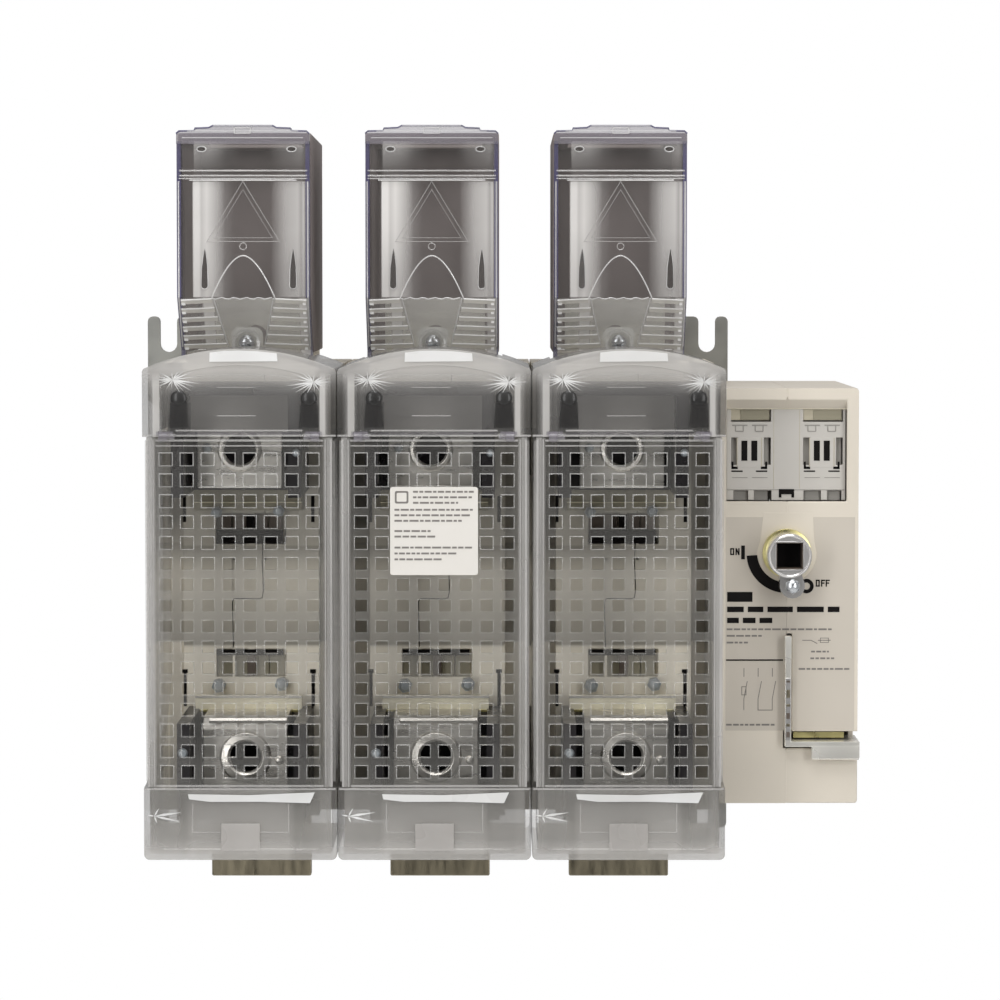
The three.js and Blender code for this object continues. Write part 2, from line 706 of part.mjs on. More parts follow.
node("tie_rod_upper", tieRod(ROD_Z), ZINC);
node("tie_rod_lower", tieRod(-ROD_Z), ZINC);

export default part;
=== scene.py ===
# Looks of a three-pole fused disconnect switch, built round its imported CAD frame.
# Sizes are millimetres in the frame's axes, made metres when a mesh is built.
# The camera, the lights and the floor are placed in metres.
import random
from math import asin, cos, degrees, pi, radians, sin, sqrt

import bmesh
import bpy
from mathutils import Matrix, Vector


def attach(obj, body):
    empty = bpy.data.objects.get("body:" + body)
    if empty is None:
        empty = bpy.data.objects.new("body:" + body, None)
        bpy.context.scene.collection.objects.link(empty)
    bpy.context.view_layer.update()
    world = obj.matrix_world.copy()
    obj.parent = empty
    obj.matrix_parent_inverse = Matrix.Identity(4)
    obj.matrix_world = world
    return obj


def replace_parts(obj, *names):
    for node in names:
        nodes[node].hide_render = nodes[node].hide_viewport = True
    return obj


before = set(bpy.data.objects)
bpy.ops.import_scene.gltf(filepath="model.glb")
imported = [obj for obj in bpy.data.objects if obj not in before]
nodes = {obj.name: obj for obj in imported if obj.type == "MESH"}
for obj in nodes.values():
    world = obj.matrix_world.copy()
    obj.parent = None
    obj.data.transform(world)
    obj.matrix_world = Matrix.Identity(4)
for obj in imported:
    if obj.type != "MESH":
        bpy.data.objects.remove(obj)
rng = random.Random(7)
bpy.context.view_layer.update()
scene = bpy.context.scene

MM = 0.001
PITCH = 106
POLES = (-PITCH, 0, PITCH)
LINE_X = -2.6
COVER_FRONT = -240
WALL = 3
CAP_BACK = -112.3
JOINT_TOP = 91.65
JOINT_BOTTOM = -99.65
JOINT_GAP = 0.15
HOUSING_FRONT = -165
SHAFT = (197, 23.4)
SINK = 0.02
SMOOTH_ANGLE = 35
BEVEL_ANGLE = 40
WELD = 0.02

# ---- node trees


class Tree:
    """The emptied node tree of a material or world, with short ways to add and link nodes."""

    def __init__(self, owner, output="OutputMaterial"):
        owner.use_nodes = True
        self.owner = owner
        self.nt = owner.node_tree
        self.nt.nodes.clear()
        self.out = self.add(output)
        self.coords = self.add("TexCoord")

    def feed(self, socket, value):
        if isinstance(value, bpy.types.NodeSocket):
            self.nt.links.new(value, socket)
        else:
            socket.default_value = value

    def add(self, kind, operation=None, **values):
        """A new ShaderNode of this kind. Each value is a number, a colour or another node's output."""
        n = self.nt.nodes.new("ShaderNode" + kind)
        if operation:
            n.operation = operation
        for key, value in values.items():
            self.feed(n.inputs[key.replace("_", " ")], value)
        return n

    def surface(self, shader):
        """Sends a shader to the output, and gives back the finished material or world."""
        self.feed(self.out.inputs["Surface"], shader)
        return self.owner

    def mix(self, share, first, second):
        n = self.add("MixShader", Fac=share)
        self.feed(n.inputs[1], first)
        self.feed(n.inputs[2], second)
        return n.outputs["Shader"]

    def noise(self, scale, detail=3, stretch=(1, 1, 1)):
        place = self.add("Mapping", Vector=self.coords.outputs["Object"], Scale=stretch)
        n = self.add("TexNoise", Scale=scale, Detail=detail, Vector=place.outputs["Vector"])
        return n.outputs["Fac"]

    def ramp(self, fac, *stops):
        n = self.add("ValToRGB", Fac=fac)
        ends = n.color_ramp.elements
        for end, (at, colour) in zip((ends[0], ends[1]), (stops[0], stops[-1])):
            end.position = at
            end.color = (*colour, 1)
        for at, colour in stops[1:-1]:
            ends.new(at).color = (*colour, 1)
        return n.outputs["Color"]

    def clouds(self, colour, spread, *noise):
        """The colour in soft patches, darker and lighter by spread."""
        dark, light = (tuple(min(1, c * by) for c in colour) for by in (1 - spread, 1 + spread))
        return self.ramp(self.noise(*noise), (0.3, dark), (0.7, light))

    def span(self, fac, low, high):
        n = self.add("MapRange", Value=fac, From_Min=0.3, From_Max=0.7, To_Min=low, To_Max=high)
        return n.outputs["Result"]

    def math(self, operation, *values):
        n = self.add("Math", operation)
        for socket, value in zip(n.inputs, values):
            self.feed(socket, value)
        return n.outputs["Value"]

    def profile(self, axis, stops):
        """A grey level that follows stops of (millimetres, level) along X within its pole, or Y or Z."""
        place = self.add("SeparateXYZ", Vector=self.coords.outputs["Object"]).outputs[axis]
        if axis == "X":
            place = self.math("WRAP", place, PITCH * MM / 2, -PITCH * MM / 2)
        low, high = stops[0][0], stops[-1][0]
        n = self.add("MapRange", Value=place, From_Min=low * MM, From_Max=high * MM)
        marks = [((at - low) / (high - low), (level, level, level)) for at, level in stops]
        return self.ramp(n.outputs["Result"], *marks)

    def patch(self, across, up):
        """The product of one profile across the pole and one up it."""
        return self.math("MULTIPLY", self.profile("X", across), self.profile("Z", up))

    def bump(self, fac, strength):
        n = self.add("Bump", Strength=strength, Distance=0.0002, Height=fac)
        return n.outputs["Normal"]


# ---- camera and lights

LENS = 145.9
CAMERA_PLACE = (0.0374, -2.44, 0.1824)
CAMERA_DIP = 3.25
CAMERA_TURN = 0.00074
WORLD_LIGHT = 0.5
WORLD_FRONT = (0.16, 0.16, 0.16)


def make_camera():
    data = bpy.data.cameras.new("camera")
    data.lens = LENS
    data.sensor_width = 36
    data.clip_end = 50
    cam = bpy.data.objects.new("camera", data)
    cam.location = CAMERA_PLACE
    cam.rotation_euler = (radians(90 - CAMERA_DIP), 0, CAMERA_TURN)
    scene.collection.objects.link(cam)
    scene.camera = cam


def area_light(name, place, target, size, power):
    data = bpy.data.lights.new(name, "AREA")
    data.shape = "RECTANGLE"
    data.size, data.size_y = size
    data.energy = power
    light = bpy.data.objects.new(name, data)
    light.location = place
    aim = Vector(target) - Vector(place)
    light.rotation_euler = aim.to_track_quat("-Z", "Y").to_euler()
    scene.collection.objects.link(light)


def make_world():
    """White for the camera; for the object a weaker light, darkest in front of it."""
    world = bpy.data.worlds.new("world")
    t = Tree(world, "OutputWorld")
    way = t.add("SeparateXYZ", Vector=t.coords.outputs["Generated"])
    spread = t.add("MapRange", Value=way.outputs["Y"], From_Min=-1)
    grey = t.ramp(spread.outputs["Result"], (0.02, WORLD_FRONT), (0.45, (1, 1, 1)))
    lit = t.add("Background", Color=grey, Strength=WORLD_LIGHT)
    seen = t.add("Background", Color=(1, 1, 1, 1), Strength=1)
    by_camera = t.add("LightPath").outputs["Is Camera Ray"]
    scene.world = t.surface(t.mix(by_camera, lit.outputs[0], seen.outputs[0]))


make_camera()
make_world()
area_light("key", (-0.78, -1.72, 0.35), (0, -0.15, 0.1), (0.42, 1.5), 11)
area_light("fill", (1.05, -1.65, 0.35), (0, -0.15, 0.1), (0.4, 1.5), 10)
area_light("top", (0, -1, 1.55), (0, -0.2, 0.1), (1.1, 1), 16)
scene.view_settings.view_transform = "Standard"
scene.cycles.transparent_max_bounces = 40

# ---- kinds of material

CLEAR_TINT = (0.97, 0.97, 0.97, 1)
CLEAR_SCALE = 18
HAZE_SPREAD = 0.25
MIRROR_FACING = 0.04
MIRROR_SLANT = 0.7


def plastic(
    name, colour, rough=0.45, spread=0.05, grain=900, bump=0.12, specular=0.45, painted_shades=(), reach=()
):
    """Opaque plastic.

    Each painted shade is a pair of stop lists, across and up. Their product darkens the colour as painted
    shade, as far back as the stops of reach say.
    """
    t = Tree(bpy.data.materials.new(name))
    base = t.clouds(colour, spread, 14, 4)
    for across, up in painted_shades:
        painted_shade = t.patch(across, up)
        if reach:
            painted_shade = t.math("MULTIPLY", painted_shade, t.profile("Y", reach))
        keep = t.math("SUBTRACT", 1, painted_shade)
        base = t.add("VectorMath", "SCALE", Vector=base, Scale=keep).outputs["Vector"]
    p = t.add(
        "BsdfPrincipled",
        Base_Color=base,
        Roughness=t.span(t.noise(60), rough - 0.06, rough + 0.06),
        Specular_IOR_Level=specular,
        Normal=t.bump(t.noise(grain, 2), bump),
    )
    return t.surface(p.outputs["BSDF"])


def metal(name, colour, rough=0.25, spread=0.1, stretch=(1, 1, 1), scale=60, bump=0.1, metallic=1):
    t = Tree(bpy.data.materials.new(name))
    p = t.add(
        "BsdfPrincipled",
        Base_Color=t.clouds(colour, spread, scale, 5, stretch),
        Metallic=metallic,
        Roughness=t.span(t.noise(scale * 2, 4, stretch), rough * 0.75, rough * 1.3),
        Normal=t.bump(t.noise(scale * 6, 3, stretch), bump),
    )
    return t.surface(p.outputs["BSDF"])


def clear(name, colour, haze, veils=(), shine=0.95, rough=0.05):
    """Clear plastic: see-through, with a diffuse haze that varies, and a mirror part that grows at a slant.

    A veil is a pair of stop lists, across the pole and up it. Its haze is their product, added by place,
    and it paints light and shade: bright bands, glints, lighter places and darker ones.
    """
    t = Tree(bpy.data.materials.new(name))
    through = t.add("BsdfTransparent", Color=CLEAR_TINT)
    milk = t.add(
        "BsdfPrincipled", Roughness=0.5, Base_Color=t.clouds(colour, 0.07, CLEAR_SCALE, 3)
    )
    clouds = t.noise(CLEAR_SCALE * 0.6, 2)
    cover = t.span(clouds, haze * (1 - HAZE_SPREAD), haze * (1 + HAZE_SPREAD))
    for veil in veils:
        cover = t.math("ADD", cover, t.patch(*veil))
    body = t.mix(cover, through.outputs["BSDF"], milk.outputs["BSDF"])
    gloss = t.span(t.noise(40, 2), rough * 0.7, rough * 1.5)
    mirror = t.add("BsdfGlossy", Color=(shine, shine, shine, 1), Roughness=gloss)
    slant = t.add("LayerWeight", Blend=0.5).outputs["Facing"]
    share = t.math("MULTIPLY_ADD", t.math("POWER", slant, 4), MIRROR_SLANT, MIRROR_FACING)
    return t.surface(t.mix(share, body, mirror.outputs["BSDF"]))


# ---- materials
# Stops are (place, level). Across a pole they run from about -53 to 53, and up it from -140 to 258.

ALL = [(-53, 1), (53, 1)]
LOWER_UP = [(-140, 1), (-99, 1)]


def flanks(a, b, c, d):
    """Stops across a pole: its left flank goes from a to b, its right one from c to d."""
    left = [(-53, 0), (-50, 0.1), (-48.5, a), (-39.2, b), (-38.4, 0)]
    return [*left, (38.4, 0), (39.2, c), (48.5, d), (53, 0)]



CREAM = plastic("cream", (0.71, 0.65, 0.555), 0.42, 0.03)
# Painted shade on the shell's front: darker bands up it, darker flanks, and darker towards its lower end.
# SHELL_REACH keeps it to the front.
SHELL_UP = [(-140, 0.35), (-70, 0.06), (-36, 0), (-32, 0.05), (-31, 0.64), (-24, 0.55), (-8, 0.38)]
SHELL_UP += [(4, 0.24), (12, 0.28), (20, 0.5), (25, 0.66), (26, 0.5), (58, 0.5), (140, 0.5)]
SHELL_ENDS = [(-53, 0), (-47, 0.3), (-36, 0.44), (-22, 0.1), (0, 0)]
SHELL_ENDS += [(20, 0.06), (34, 0.44), (46, 0.3), (53, 0)]
SHELL_PAINTED_SHADES = [
    (ALL, SHELL_UP),
    (flanks(0.7, 0.7, 0.2, 0.15), [(24, 0), (40, 0.9), (140, 1)]),
    (flanks(0.5, 0.45, 0.15, 0.1), [(-140, 1), (-40, 0.6), (-30, 0)]),
    (SHELL_ENDS, [(-140, 0), (-130, 0.4), (-122, 1), (-100, 1), (-92, 0)]),
]
SHELL_REACH = [(-250, 1), (-112, 1), (-104, 0), (0, 0)]
SHELL = plastic("shell", (0.95, 0.885, 0.75), 0.5, 0.03, painted_shades=SHELL_PAINTED_SHADES, reach=SHELL_REACH)
# Cream darkened as painted shade, for places in shade, and darker again for deeper shade.
CREAM_SHADED = plastic("cream_shaded", (0.5, 0.455, 0.345), 0.5, 0.05)
CREAM_DEEP_SHADED = plastic("cream_deep_shaded", (0.3, 0.275, 0.2), 0.55, 0.06)
GREY = plastic("grey", (0.55, 0.525, 0.485), 0.45, 0.03)
LABEL = plastic("label", (0.575, 0.525, 0.452), 0.5, 0.02, bump=0.03)
STICKER = plastic("sticker", (0.74, 0.71, 0.66), 0.5, 0.02, bump=0.02)
SHADE = plastic("shade", (0.3, 0.285, 0.26), 0.55, 0.05)
INK = plastic("ink", (0.01, 0.009, 0.009), 0.8, 0.2, bump=0.02, specular=0.08)
INK_GREY = plastic("ink_grey", (0.2, 0.185, 0.17), 0.5, 0.1, bump=0.02)
BLACK = plastic("black", (0.016, 0.014, 0.015), 0.3, 0.25, 500, 0.1, 0.5)
VOID = plastic("void", (0.007, 0.006, 0.006), 0.8, 0.3, specular=0.08)
BROWN = plastic("brown", (0.115, 0.09, 0.07), 0.5, 0.15)
DARK = plastic("dark", (0.3, 0.26, 0.25), 0.6, 0.06, 700, specular=0.1)
# Terminal colour lifted as painted light, because the terminals sit in shade under the lids.
TERMINAL = metal("terminal", (0.84, 0.84, 0.77), 0.45, 0.14, (1, 1, 5), 26, 0.05, 0.1)
TIN = metal("tin", (0.72, 0.69, 0.635), 0.3, 0.05, (1, 1, 6), 20, 0.02, 0.85)
TIN_DULL = metal("tin_dull", (0.3, 0.265, 0.19), 0.36, 0.1, (6, 1, 1), 24)
PLATE = metal("plate", (0.31, 0.31, 0.29), 0.4, 0.1, scale=45, bump=0.05, metallic=0.6)
ZINC = metal("zinc", (0.52, 0.52, 0.49), 0.33, 0.12, scale=45)
BRIGHT = metal("bright_zinc", (0.9, 0.875, 0.81), 0.26, 0.02, scale=12, bump=0.01, metallic=0.6)
CHROME = metal("chrome", (0.84, 0.82, 0.8), 0.14, 0.06, bump=0.02, metallic=0.7)
BRASS = metal("brass", (0.8, 0.72, 0.34), 0.3, 0.12, scale=50)
YELLOW = metal("yellow_zinc", (0.93, 0.86, 0.66), 0.45, 0.1, scale=50, metallic=0.15)
STEEL = metal("steel", (0.62, 0.64, 0.66), 0.25, 0.1)
NUT = metal("nut", (0.34, 0.37, 0.39), 0.35, 0.12, metallic=0.4)
# Painted light on the fuse covers: more haze in bands up them and towards their sides, to lighten what
# shows through.
COVER_UP = [(-100, 0.05), (-70, 0), (-44, 0.02), (-30, 0.03), (-6, 0.04)]
COVER_UP += [(14, 0.05), (26, 0.02), (34, 0), (92, 0)]
COVER_ACROSS = [(-53, 0.08), (-46, 0.03), (-36, 0), (-30, 0), (40, 0), (46, 0.05), (53, 0.08)]
COVER_VEILS = [(ALL, COVER_UP), (COVER_ACROSS, [(-100, 1), (92, 1)])]
COVER = clear("clear_cover", (0.6, 0.58, 0.54), 0.042, COVER_VEILS)
FLANGE = clear("clear_flange", (0.66, 0.64, 0.61), 0.18, shine=0.7)
SIDE = clear("clear_side", (0.84, 0.82, 0.79), 0.28, shine=0.7)
# Painted highlights on the upper caps: glints down their side strips, glows round the two stars, and haze
# that grows towards the top.
CAP_GLINTS = [(-49, 0), (-47.2, 0.1), (-46.8, 0.35), (-43.6, 0.35), (-43, 0)]
CAP_GLINTS += [(43.5, 0), (44, 0.4), (46.5, 0.4), (47.2, 0.1), (49, 0)]
CAP_SPOTS = [(-44, 0), (-36, 0.12), (-20, 0), (20, 0), (40, 0.12), (44, 0)]
CAP_VEILS = [
    (CAP_SPOTS, [(115, 0), (121, 1), (126, 0.6), (130, 0)]),
    (ALL, [(88, 0), (102, 0), (114, 0.02), (120, 0.08), (124, 0.2), (129, 0.34), (140, 0.37)]),
    (CAP_GLINTS, [(90, 1), (120, 1), (127, 0)]),
]
CAP = clear("clear_cap", (0.78, 0.755, 0.725), 0.055, CAP_VEILS, rough=0.08, shine=0.62)
# Painted light on the lower caps: a bright band at the bottom, lighter sides and a lighter middle.
LOWER_VEILS = [
    (ALL, [(-140, 0.3), (-134, 0.26), (-128, 0.1), (-118, 0.05), (-108, 0.02), (-99, 0.05)]),
    ([(-53, 0.02), (-47, 0.03), (-43, 0), (43, 0), (46, 0.03), (53, 0.02)], LOWER_UP),
    ([(-30, 0), (-26, 0.1), (26, 0.1), (30, 0)], LOWER_UP),
]
LOWER = clear("clear_lower", (0.7, 0.675, 0.64), 0.07, LOWER_VEILS, rough=0.08, shine=0.62)
# A dark hazy sheet inside each upper cap: painted shade behind its middle.
SHADE_FOG_ACROSS = [(-46, 0), (-38, 0), (-28, 0.22), (30, 0.22), (40, 0), (46, 0)]
SHADE_FOG_VEIL = (SHADE_FOG_ACROSS, [(92, 1), (122, 1)])
SHADE_FOG = clear("clear_shade_fog", (0.27, 0.255, 0.235), 0.5, [SHADE_FOG_VEIL], shine=0.3)
# A dark hazy sheet inside each lower cap: painted shade.
LOWER_SHADE_ACROSS = [(-50, 0.1), (-46, 0), (-36, 0), (-20, 0.25), (22, 0.25), (36, 0), (46, 0), (50, 0.1)]
LOWER_SHADE_SHEET = clear("clear_lower_shade_sheet", (0.3, 0.288, 0.262), 0.5, [(LOWER_SHADE_ACROSS, LOWER_UP)], shine=0.3)
# Painted highlights on the lids: bright bands down the face, glints at the top corners, and lighter patches
# low down over the terminal.
LID_BANDS = [(-40.2, 0), (-31.2, 0), (-30.4, 0.78), (-27.5, 0.82), (-26, 0.55), (-23, 0.72)]
LID_BANDS += [(-18, 0.36), (-13, 0.06), (-8, 0), (13, 0), (17, 0.12), (22, 0.34), (28, 0.46)]
LID_BANDS += [(30, 0.28), (31.5, 0.5), (32.5, 0.1), (38, 0)]
BANDS_UP = [(166.5, 0), (167.5, 0.55), (185, 0.7), (205, 0.9), (228, 0.9), (231.5, 0.75), (232.5, 0)]
LID_HEAD = [(-40.2, 0.04), (-30.5, 0.05), (-29.8, 0.5), (-22, 0.42), (-12, 0.1), (-4, 0.02)]
LID_HEAD += [(12, 0.03), (22, 0.22), (30, 0.35), (33, 0.1), (38, 0.05)]
LID_FOOT = [(-40.2, 0), (-26, 0), (-25, 0.55), (-20, 0.5), (-19, 0)]
LID_FOOT += [(28, 0), (29, 0.5), (33.5, 0.55), (34, 0), (38, 0)]
LID_SLOPE = [(-40, 0.1), (-20, 0.1), (-17, 0.22), (14, 0.22), (16, 0.17), (38, 0.17)]
LID_VEILS = [
    (LID_BANDS, BANDS_UP),
    (LID_HEAD, [(239, 0.1), (246, 0.28), (254, 0.75), (258, 0.35)]),
    (LID_FOOT, [(139, 0.8), (166, 0.9), (167, 0)]),
    (LID_SLOPE, [(139, 1), (166, 1), (167, 0)]),
]
LID = clear("clear_lid", (0.8, 0.775, 0.75), 0.018, LID_VEILS)
EDGE = clear("clear_edge", (0.88, 0.87, 0.86), 0.5)
# The vent rims' haze is a painted highlight, brighter low and high on the cover.
RIM_STOPS = [(-100, 0.24), (-62, 0.2), (-50, 0.1), (-32, 0.12), (-14, 0.06)]
RIM_STOPS += [(8, 0.03), (20, 0.08), (30, 0.22), (92, 0.3)]
CELL_RIM = clear("clear_cell_rim", (0.86, 0.85, 0.82), 0.05, [(ALL, RIM_STOPS)])
RIM = clear("clear_rim", (0.92, 0.91, 0.89), 0.62)
LINE = clear("clear_line", (0.75, 0.73, 0.71), 0.3)
RIB = clear("clear_rib", (0.72, 0.69, 0.63), 0.6)
SMOKE = clear("clear_smoke", (0.07, 0.06, 0.055), 0.55)
VIOLET = clear("clear_violet", (0.075, 0.065, 0.16), 0.8, shine=0.5)
LILAC = clear("clear_lilac", (0.32, 0.295, 0.335), 0.36, shine=0.8)
FROST = clear("clear_frost", (0.62, 0.59, 0.56), 0.42, rough=0.3)
KNOB = clear("clear_knob", (0.012, 0.011, 0.01), 0.95, shine=0.3)
PILLAR_VEIL = (ALL, [(92, 0), (98, 0.1), (110, 0.3)])
PILLAR = clear("clear_pillar", (0.02, 0.018, 0.017), 0.34, [PILLAR_VEIL], shine=0.4)
GLOW = clear("clear_glow", (0.93, 0.92, 0.9), 0.26, rough=0.3)
SHEEN = clear("clear_sheen", (0.96, 0.95, 0.93), 0.62, rough=0.3)

# ---- mesh helpers


class Build:
    """Collects closed shapes in millimetres, each with the number of its material."""

    def __init__(self):
        self.bm = bmesh.new()

    def verts(self, points):
        return [self.bm.verts.new(Vector(p) * MM) for p in points]

    def join(self, verts, mat=0):
        f = self.bm.faces.new(verts)
        f.material_index = mat

    def face(self, points, mat=0):
        self.join(self.verts(points), mat)

    def prism(self, points, axis, a0, a1, mat=0):
        """A closed outline of pairs, run along x or y from a0 to a1."""
        low, high = (
            self.verts([(a, p, q) if axis == "x" else (p, a, q) for p, q in points]) for a in (a0, a1)
        )
        self.join(low, mat)
        self.join(high[::-1], mat)
        for i in range(len(points)):
            j = (i + 1) % len(points)
            self.join((low[i], high[i], high[j], low[j]), mat)

    def box(self, x0, x1, y0, y1, z0, z1, mat=0):
        self.prism([(x0, z0), (x1, z0), (x1, z1), (x0, z1)], "y", y0, y1, mat)

    def rod(self, centre, r, axis, a0, a1, n=32, mat=0):
        self.prism(circle(centre, r, n), axis, a0, a1, mat)

    def strip(self, a, b, mat):
        """Faces between two rings of vertices."""
        for i in range(len(a)):
            j = (i + 1) % len(a)
            self.join((a[i], a[j], b[j], b[i]), mat)

    def lathe(self, profile, centre, n=48, mat=0):
        """A closed profile of (radius, y), turned round an axis along y through centre."""
        rings = [self.verts([(u, y, v) for u, v in circle(centre, r, n)]) for r, y in profile]
        for k, ring in enumerate(rings):
            self.strip(ring, rings[(k + 1) % len(rings)], mat)

    def tube(self, path, r, closed=False, mat=0, n=8):
        """A thin ridge or wire along a path of (x, y, z)."""
        rings = []
        last = len(path) - 1
        for i, p in enumerate(path):
            before = path[i - 1] if closed or i else p
            after = path[(i + 1) % len(path)] if closed or i < last else p
            along = (Vector(after) - Vector(before)).normalized()
            side = along.cross(Vector((0, 1, 0)))
            side = side.normalized() if side.length > 1e-6 else Vector((1, 0, 0))
            up = side.cross(along)
            rings.append(self.verts([Vector(p) + (side * u + up * v) * r for u, v in circle((0, 0), 1, n)]))
        for a, b in zip(rings, [*rings[1:], rings[0]] if closed else rings[1:]):
            self.strip(a, b, mat)
        if not closed:
            self.join(rings[0], mat)
            self.join(rings[-1], mat)

    def done(self, name, mats, slot, bevel=0, weld=0, body="frame"):
        if weld:
            bmesh.ops.remove_doubles(self.bm, verts=self.bm.verts, dist=weld * MM)
        ob = self.to_object(name)
        for m in mats:
            ob.data.materials.append(m)
        smooth_by_angle(ob.data)
        if bevel:
            add_bevel(ob, bevel)
        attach(ob, body)
        return ob

    def to_object(self, name):
        bmesh.ops.recalc_face_normals(self.bm, faces=self.bm.faces)
        mesh = bpy.data.meshes.new(name)
        self.bm.to_mesh(mesh)
        self.bm.free()
        ob = bpy.data.objects.new(name, mesh)
        scene.collection.objects.link(ob)
        return ob


def circle(centre, r, n=32, turn=0):
    step = 2 * pi / n
    return [
        (centre[0] + r * cos(turn + i * step), centre[1] + r * sin(turn + i * step))
        for i in range(n)
    ]


def arc(centre, r, start, end, n):
    angles = [radians(start + (end - start) * i / n) for i in range(n + 1)]
    return [(centre[0] + r * cos(a), centre[1] + r * sin(a)) for a in angles]


def round_rect(x0, x1, z0, z1, r, n=5):
    corners = ((x1 - r, z1 - r), (x0 + r, z1 - r), (x0 + r, z0 + r), (x1 - r, z0 + r))
    return [p for i, c in enumerate(corners) for p in arc(c, r, 90 * i, 90 * i + 90, n)]


def beside(x, s, a, b):
    """The places a and b from x, both to its left (s = -1) or right (s = 1), lowest first."""
    return sorted((x + s * a, x + s * b))


def smooth_by_angle(mesh):
    mesh.shade_smooth()
    mesh.set_sharp_from_angle(angle=radians(SMOOTH_ANGLE))


def add_bevel(ob, width):
    m = ob.modifiers.new("bevel", "BEVEL")
    m.width = width * MM
    m.segments = 2
    m.limit_method = "ANGLE"
    m.angle_limit = radians(BEVEL_ANGLE)


def cut(ob, *cutters):
    """Cuts Build shapes out of an object, with Blender's exact solver, and removes the cutters."""
    bevels = [x for x in ob.modifiers if x.type == "BEVEL"]
    for x in bevels:
        x.show_viewport = False
    for shape in cutters:
        tool = shape.to_object("cutter")
        m = ob.modifiers.new("cut", "BOOLEAN")
        m.operation = "DIFFERENCE"
        m.solver = "EXACT"
        m.object = tool
        bpy.context.view_layer.update()
        dg = bpy.context.evaluated_depsgraph_get()
        made = bpy.data.meshes.new_from_object(ob.evaluated_get(dg))
        ob.modifiers.remove(m)
        ob.data = made
        bpy.data.objects.remove(tool)
    for x in bevels:
        x.show_viewport = True
    smooth_by_angle(ob.data)


def print_on(b, outline, mat, depth=0.12, y=HOUSING_FRONT):
    b.prism(outline, "y", y - depth, y + SINK, mat)


def bar(b, x0, x1, z0, z1, mat, y=HOUSING_FRONT, depth=0.2, sink=SINK):
    """A flat bar that stands depth out of the face at y, and reaches sink into it."""
    b.box(x0, x1, y - depth, y + sink, z0, z1, mat)


def words(b, x0, x1, z0, z1, mat, y=HOUSING_FRONT):
    """A row of plain blocks that stands for a printed line."""
    high = z1 - z0
    at = x0
    while at < x1 - high:
        wide = min(x1 - at, high * rng.uniform(1.6, 5))
        bar(b, at, at + wide, z0, z1, mat, y, 0.22)
        at += wide + high * 0.75


def letter(b, kind, x, z, wide, high, thick, mat):
    """A block letter of the plain ON and OFF marks."""
    left, right = (0, 0, thick, high), (wide - thick, 0, wide, high)
    foot, head = (0, 0, wide, thick), (0, high - thick, wide, high)
    middle = (0, high * 0.42, wide * 0.85, high * 0.42 + thick)
    parts = {"O": (left, right, foot, head), "N": (left, right), "F": (left, head, middle)}
    for x0, z0, x1, z1 in parts[kind]:
        bar(b, x + x0, x + x1, z + z0, z + z1, mat, depth=0.26)
    if kind == "N":
        slope = [(x, z + high), (x + wide - thick, z), (x + wide, z), (x + thick, z + high)]
        print_on(b, slope, mat, 0.25)


# ---- CAD nodes that stay


def dress(node, material, bevel):
    """Gives a CAD node its material, and softens its edges by modifiers."""
    ob = nodes[node]
    ob.data.materials.clear()
    ob.data.materials.append(material)
    ob.modifiers.new("weld", "WELD").merge_threshold = WELD * MM
    add_bevel(ob, bevel)


for n in (1, 2, 3):
    for side in ("left", "right"):
        dress(f"pole_{n}_shell_{side}", SHELL, 0.5)
    dress(f"pole_{n}_rear_shroud", DARK, 0.9)
    dress(f"pole_{n}_line_terminal", TERMINAL, 0.8)
    dress(f"pole_{n}_load_terminal", TIN_DULL, 0.8)
    for end in ("upper", "lower"):
        dress(f"pole_{n}_{end}_fuse_contact", TIN, 0.5)
        dress(f"pole_{n}_{end}_insulator", BLACK, 0.8)
        dress(f"pole_{n}_{end}_bridge", TIN, 0.6)
for node, material, bevel, slot in (
    ("mounting_plate", PLATE, 0.3, "zinc_steel"),
    ("housing_left", CREAM, 0.8, "cream_body"),
    ("housing_right", CREAM, 0.8, "cream_body"),
    ("aux_contact_holder", GREY, 0.3, "grey_holder"),
    ("contact_carriage", BLACK, 0.5, "black_insulator"),
    ("spindle_crank", ZINC, 0.4, "zinc_steel"),
    ("padlock_slide", BRIGHT, 0.6, "zinc_steel"),
    ("tie_rod_upper", ZINC, 0.3, "zinc_steel"),
    ("tie_rod_lower", ZINC, 0.3, "zinc_steel"),
    ("shaft_bush", BRASS, 0.4, "yellow_bush"),
    ("shaft_coupling", CHROME, 0.7, "chrome_coupling"),
):
    dress(node, material, bevel)

# ---- fuse covers

COLUMNS, ROWS = 8, 16
CELL_X, CELL_Z = 11.4, 11.387
FIRST_Z = 79.6
HOLE = 3.3
HOLE_RIM = 3.8
RIM_RISE = 0.35


def swing(r, y0, y1, n):
    """Points (y, z) on the cover's swing circle about its hinge."""
    points = []
    for i in range(n + 1):
        dy = y0 + (y1 - y0) * i / n - COVER_FRONT
        points.append((COVER_FRONT + dy, JOINT_TOP - sqrt(r * r - dy * dy)))
    return points


def rectangle(x, z, hx, hz, y):
    return [(x - hx, y, z - hz), (x + hx, y, z - hz), (x + hx, y, z + hz), (x - hx, y, z + hz)]


def vent_cell(b, x, z):
    """One cell of the vent grid: flat plastic, a raised rim made bright as a painted highlight, and the
    walls of the hole.
    """
    front, back = COVER_FRONT, COVER_FRONT + WALL
    rings = [
        rectangle(x, z, CELL_X / 2, CELL_Z / 2, front),
        rectangle(x, z, HOLE_RIM, HOLE_RIM, front),
        rectangle(x, z, HOLE, HOLE, front - RIM_RISE),
        rectangle(x, z, HOLE, HOLE, back),
        rectangle(x, z, CELL_X / 2, CELL_Z / 2, back),
    ]
    for outer, inner, mat in zip(rings, rings[1:], (0, 5, 5, 0)):
        for i in range(4):
            j = (i + 1) % 4
            b.face((outer[i], outer[j], inner[j], inner[i]), mat)


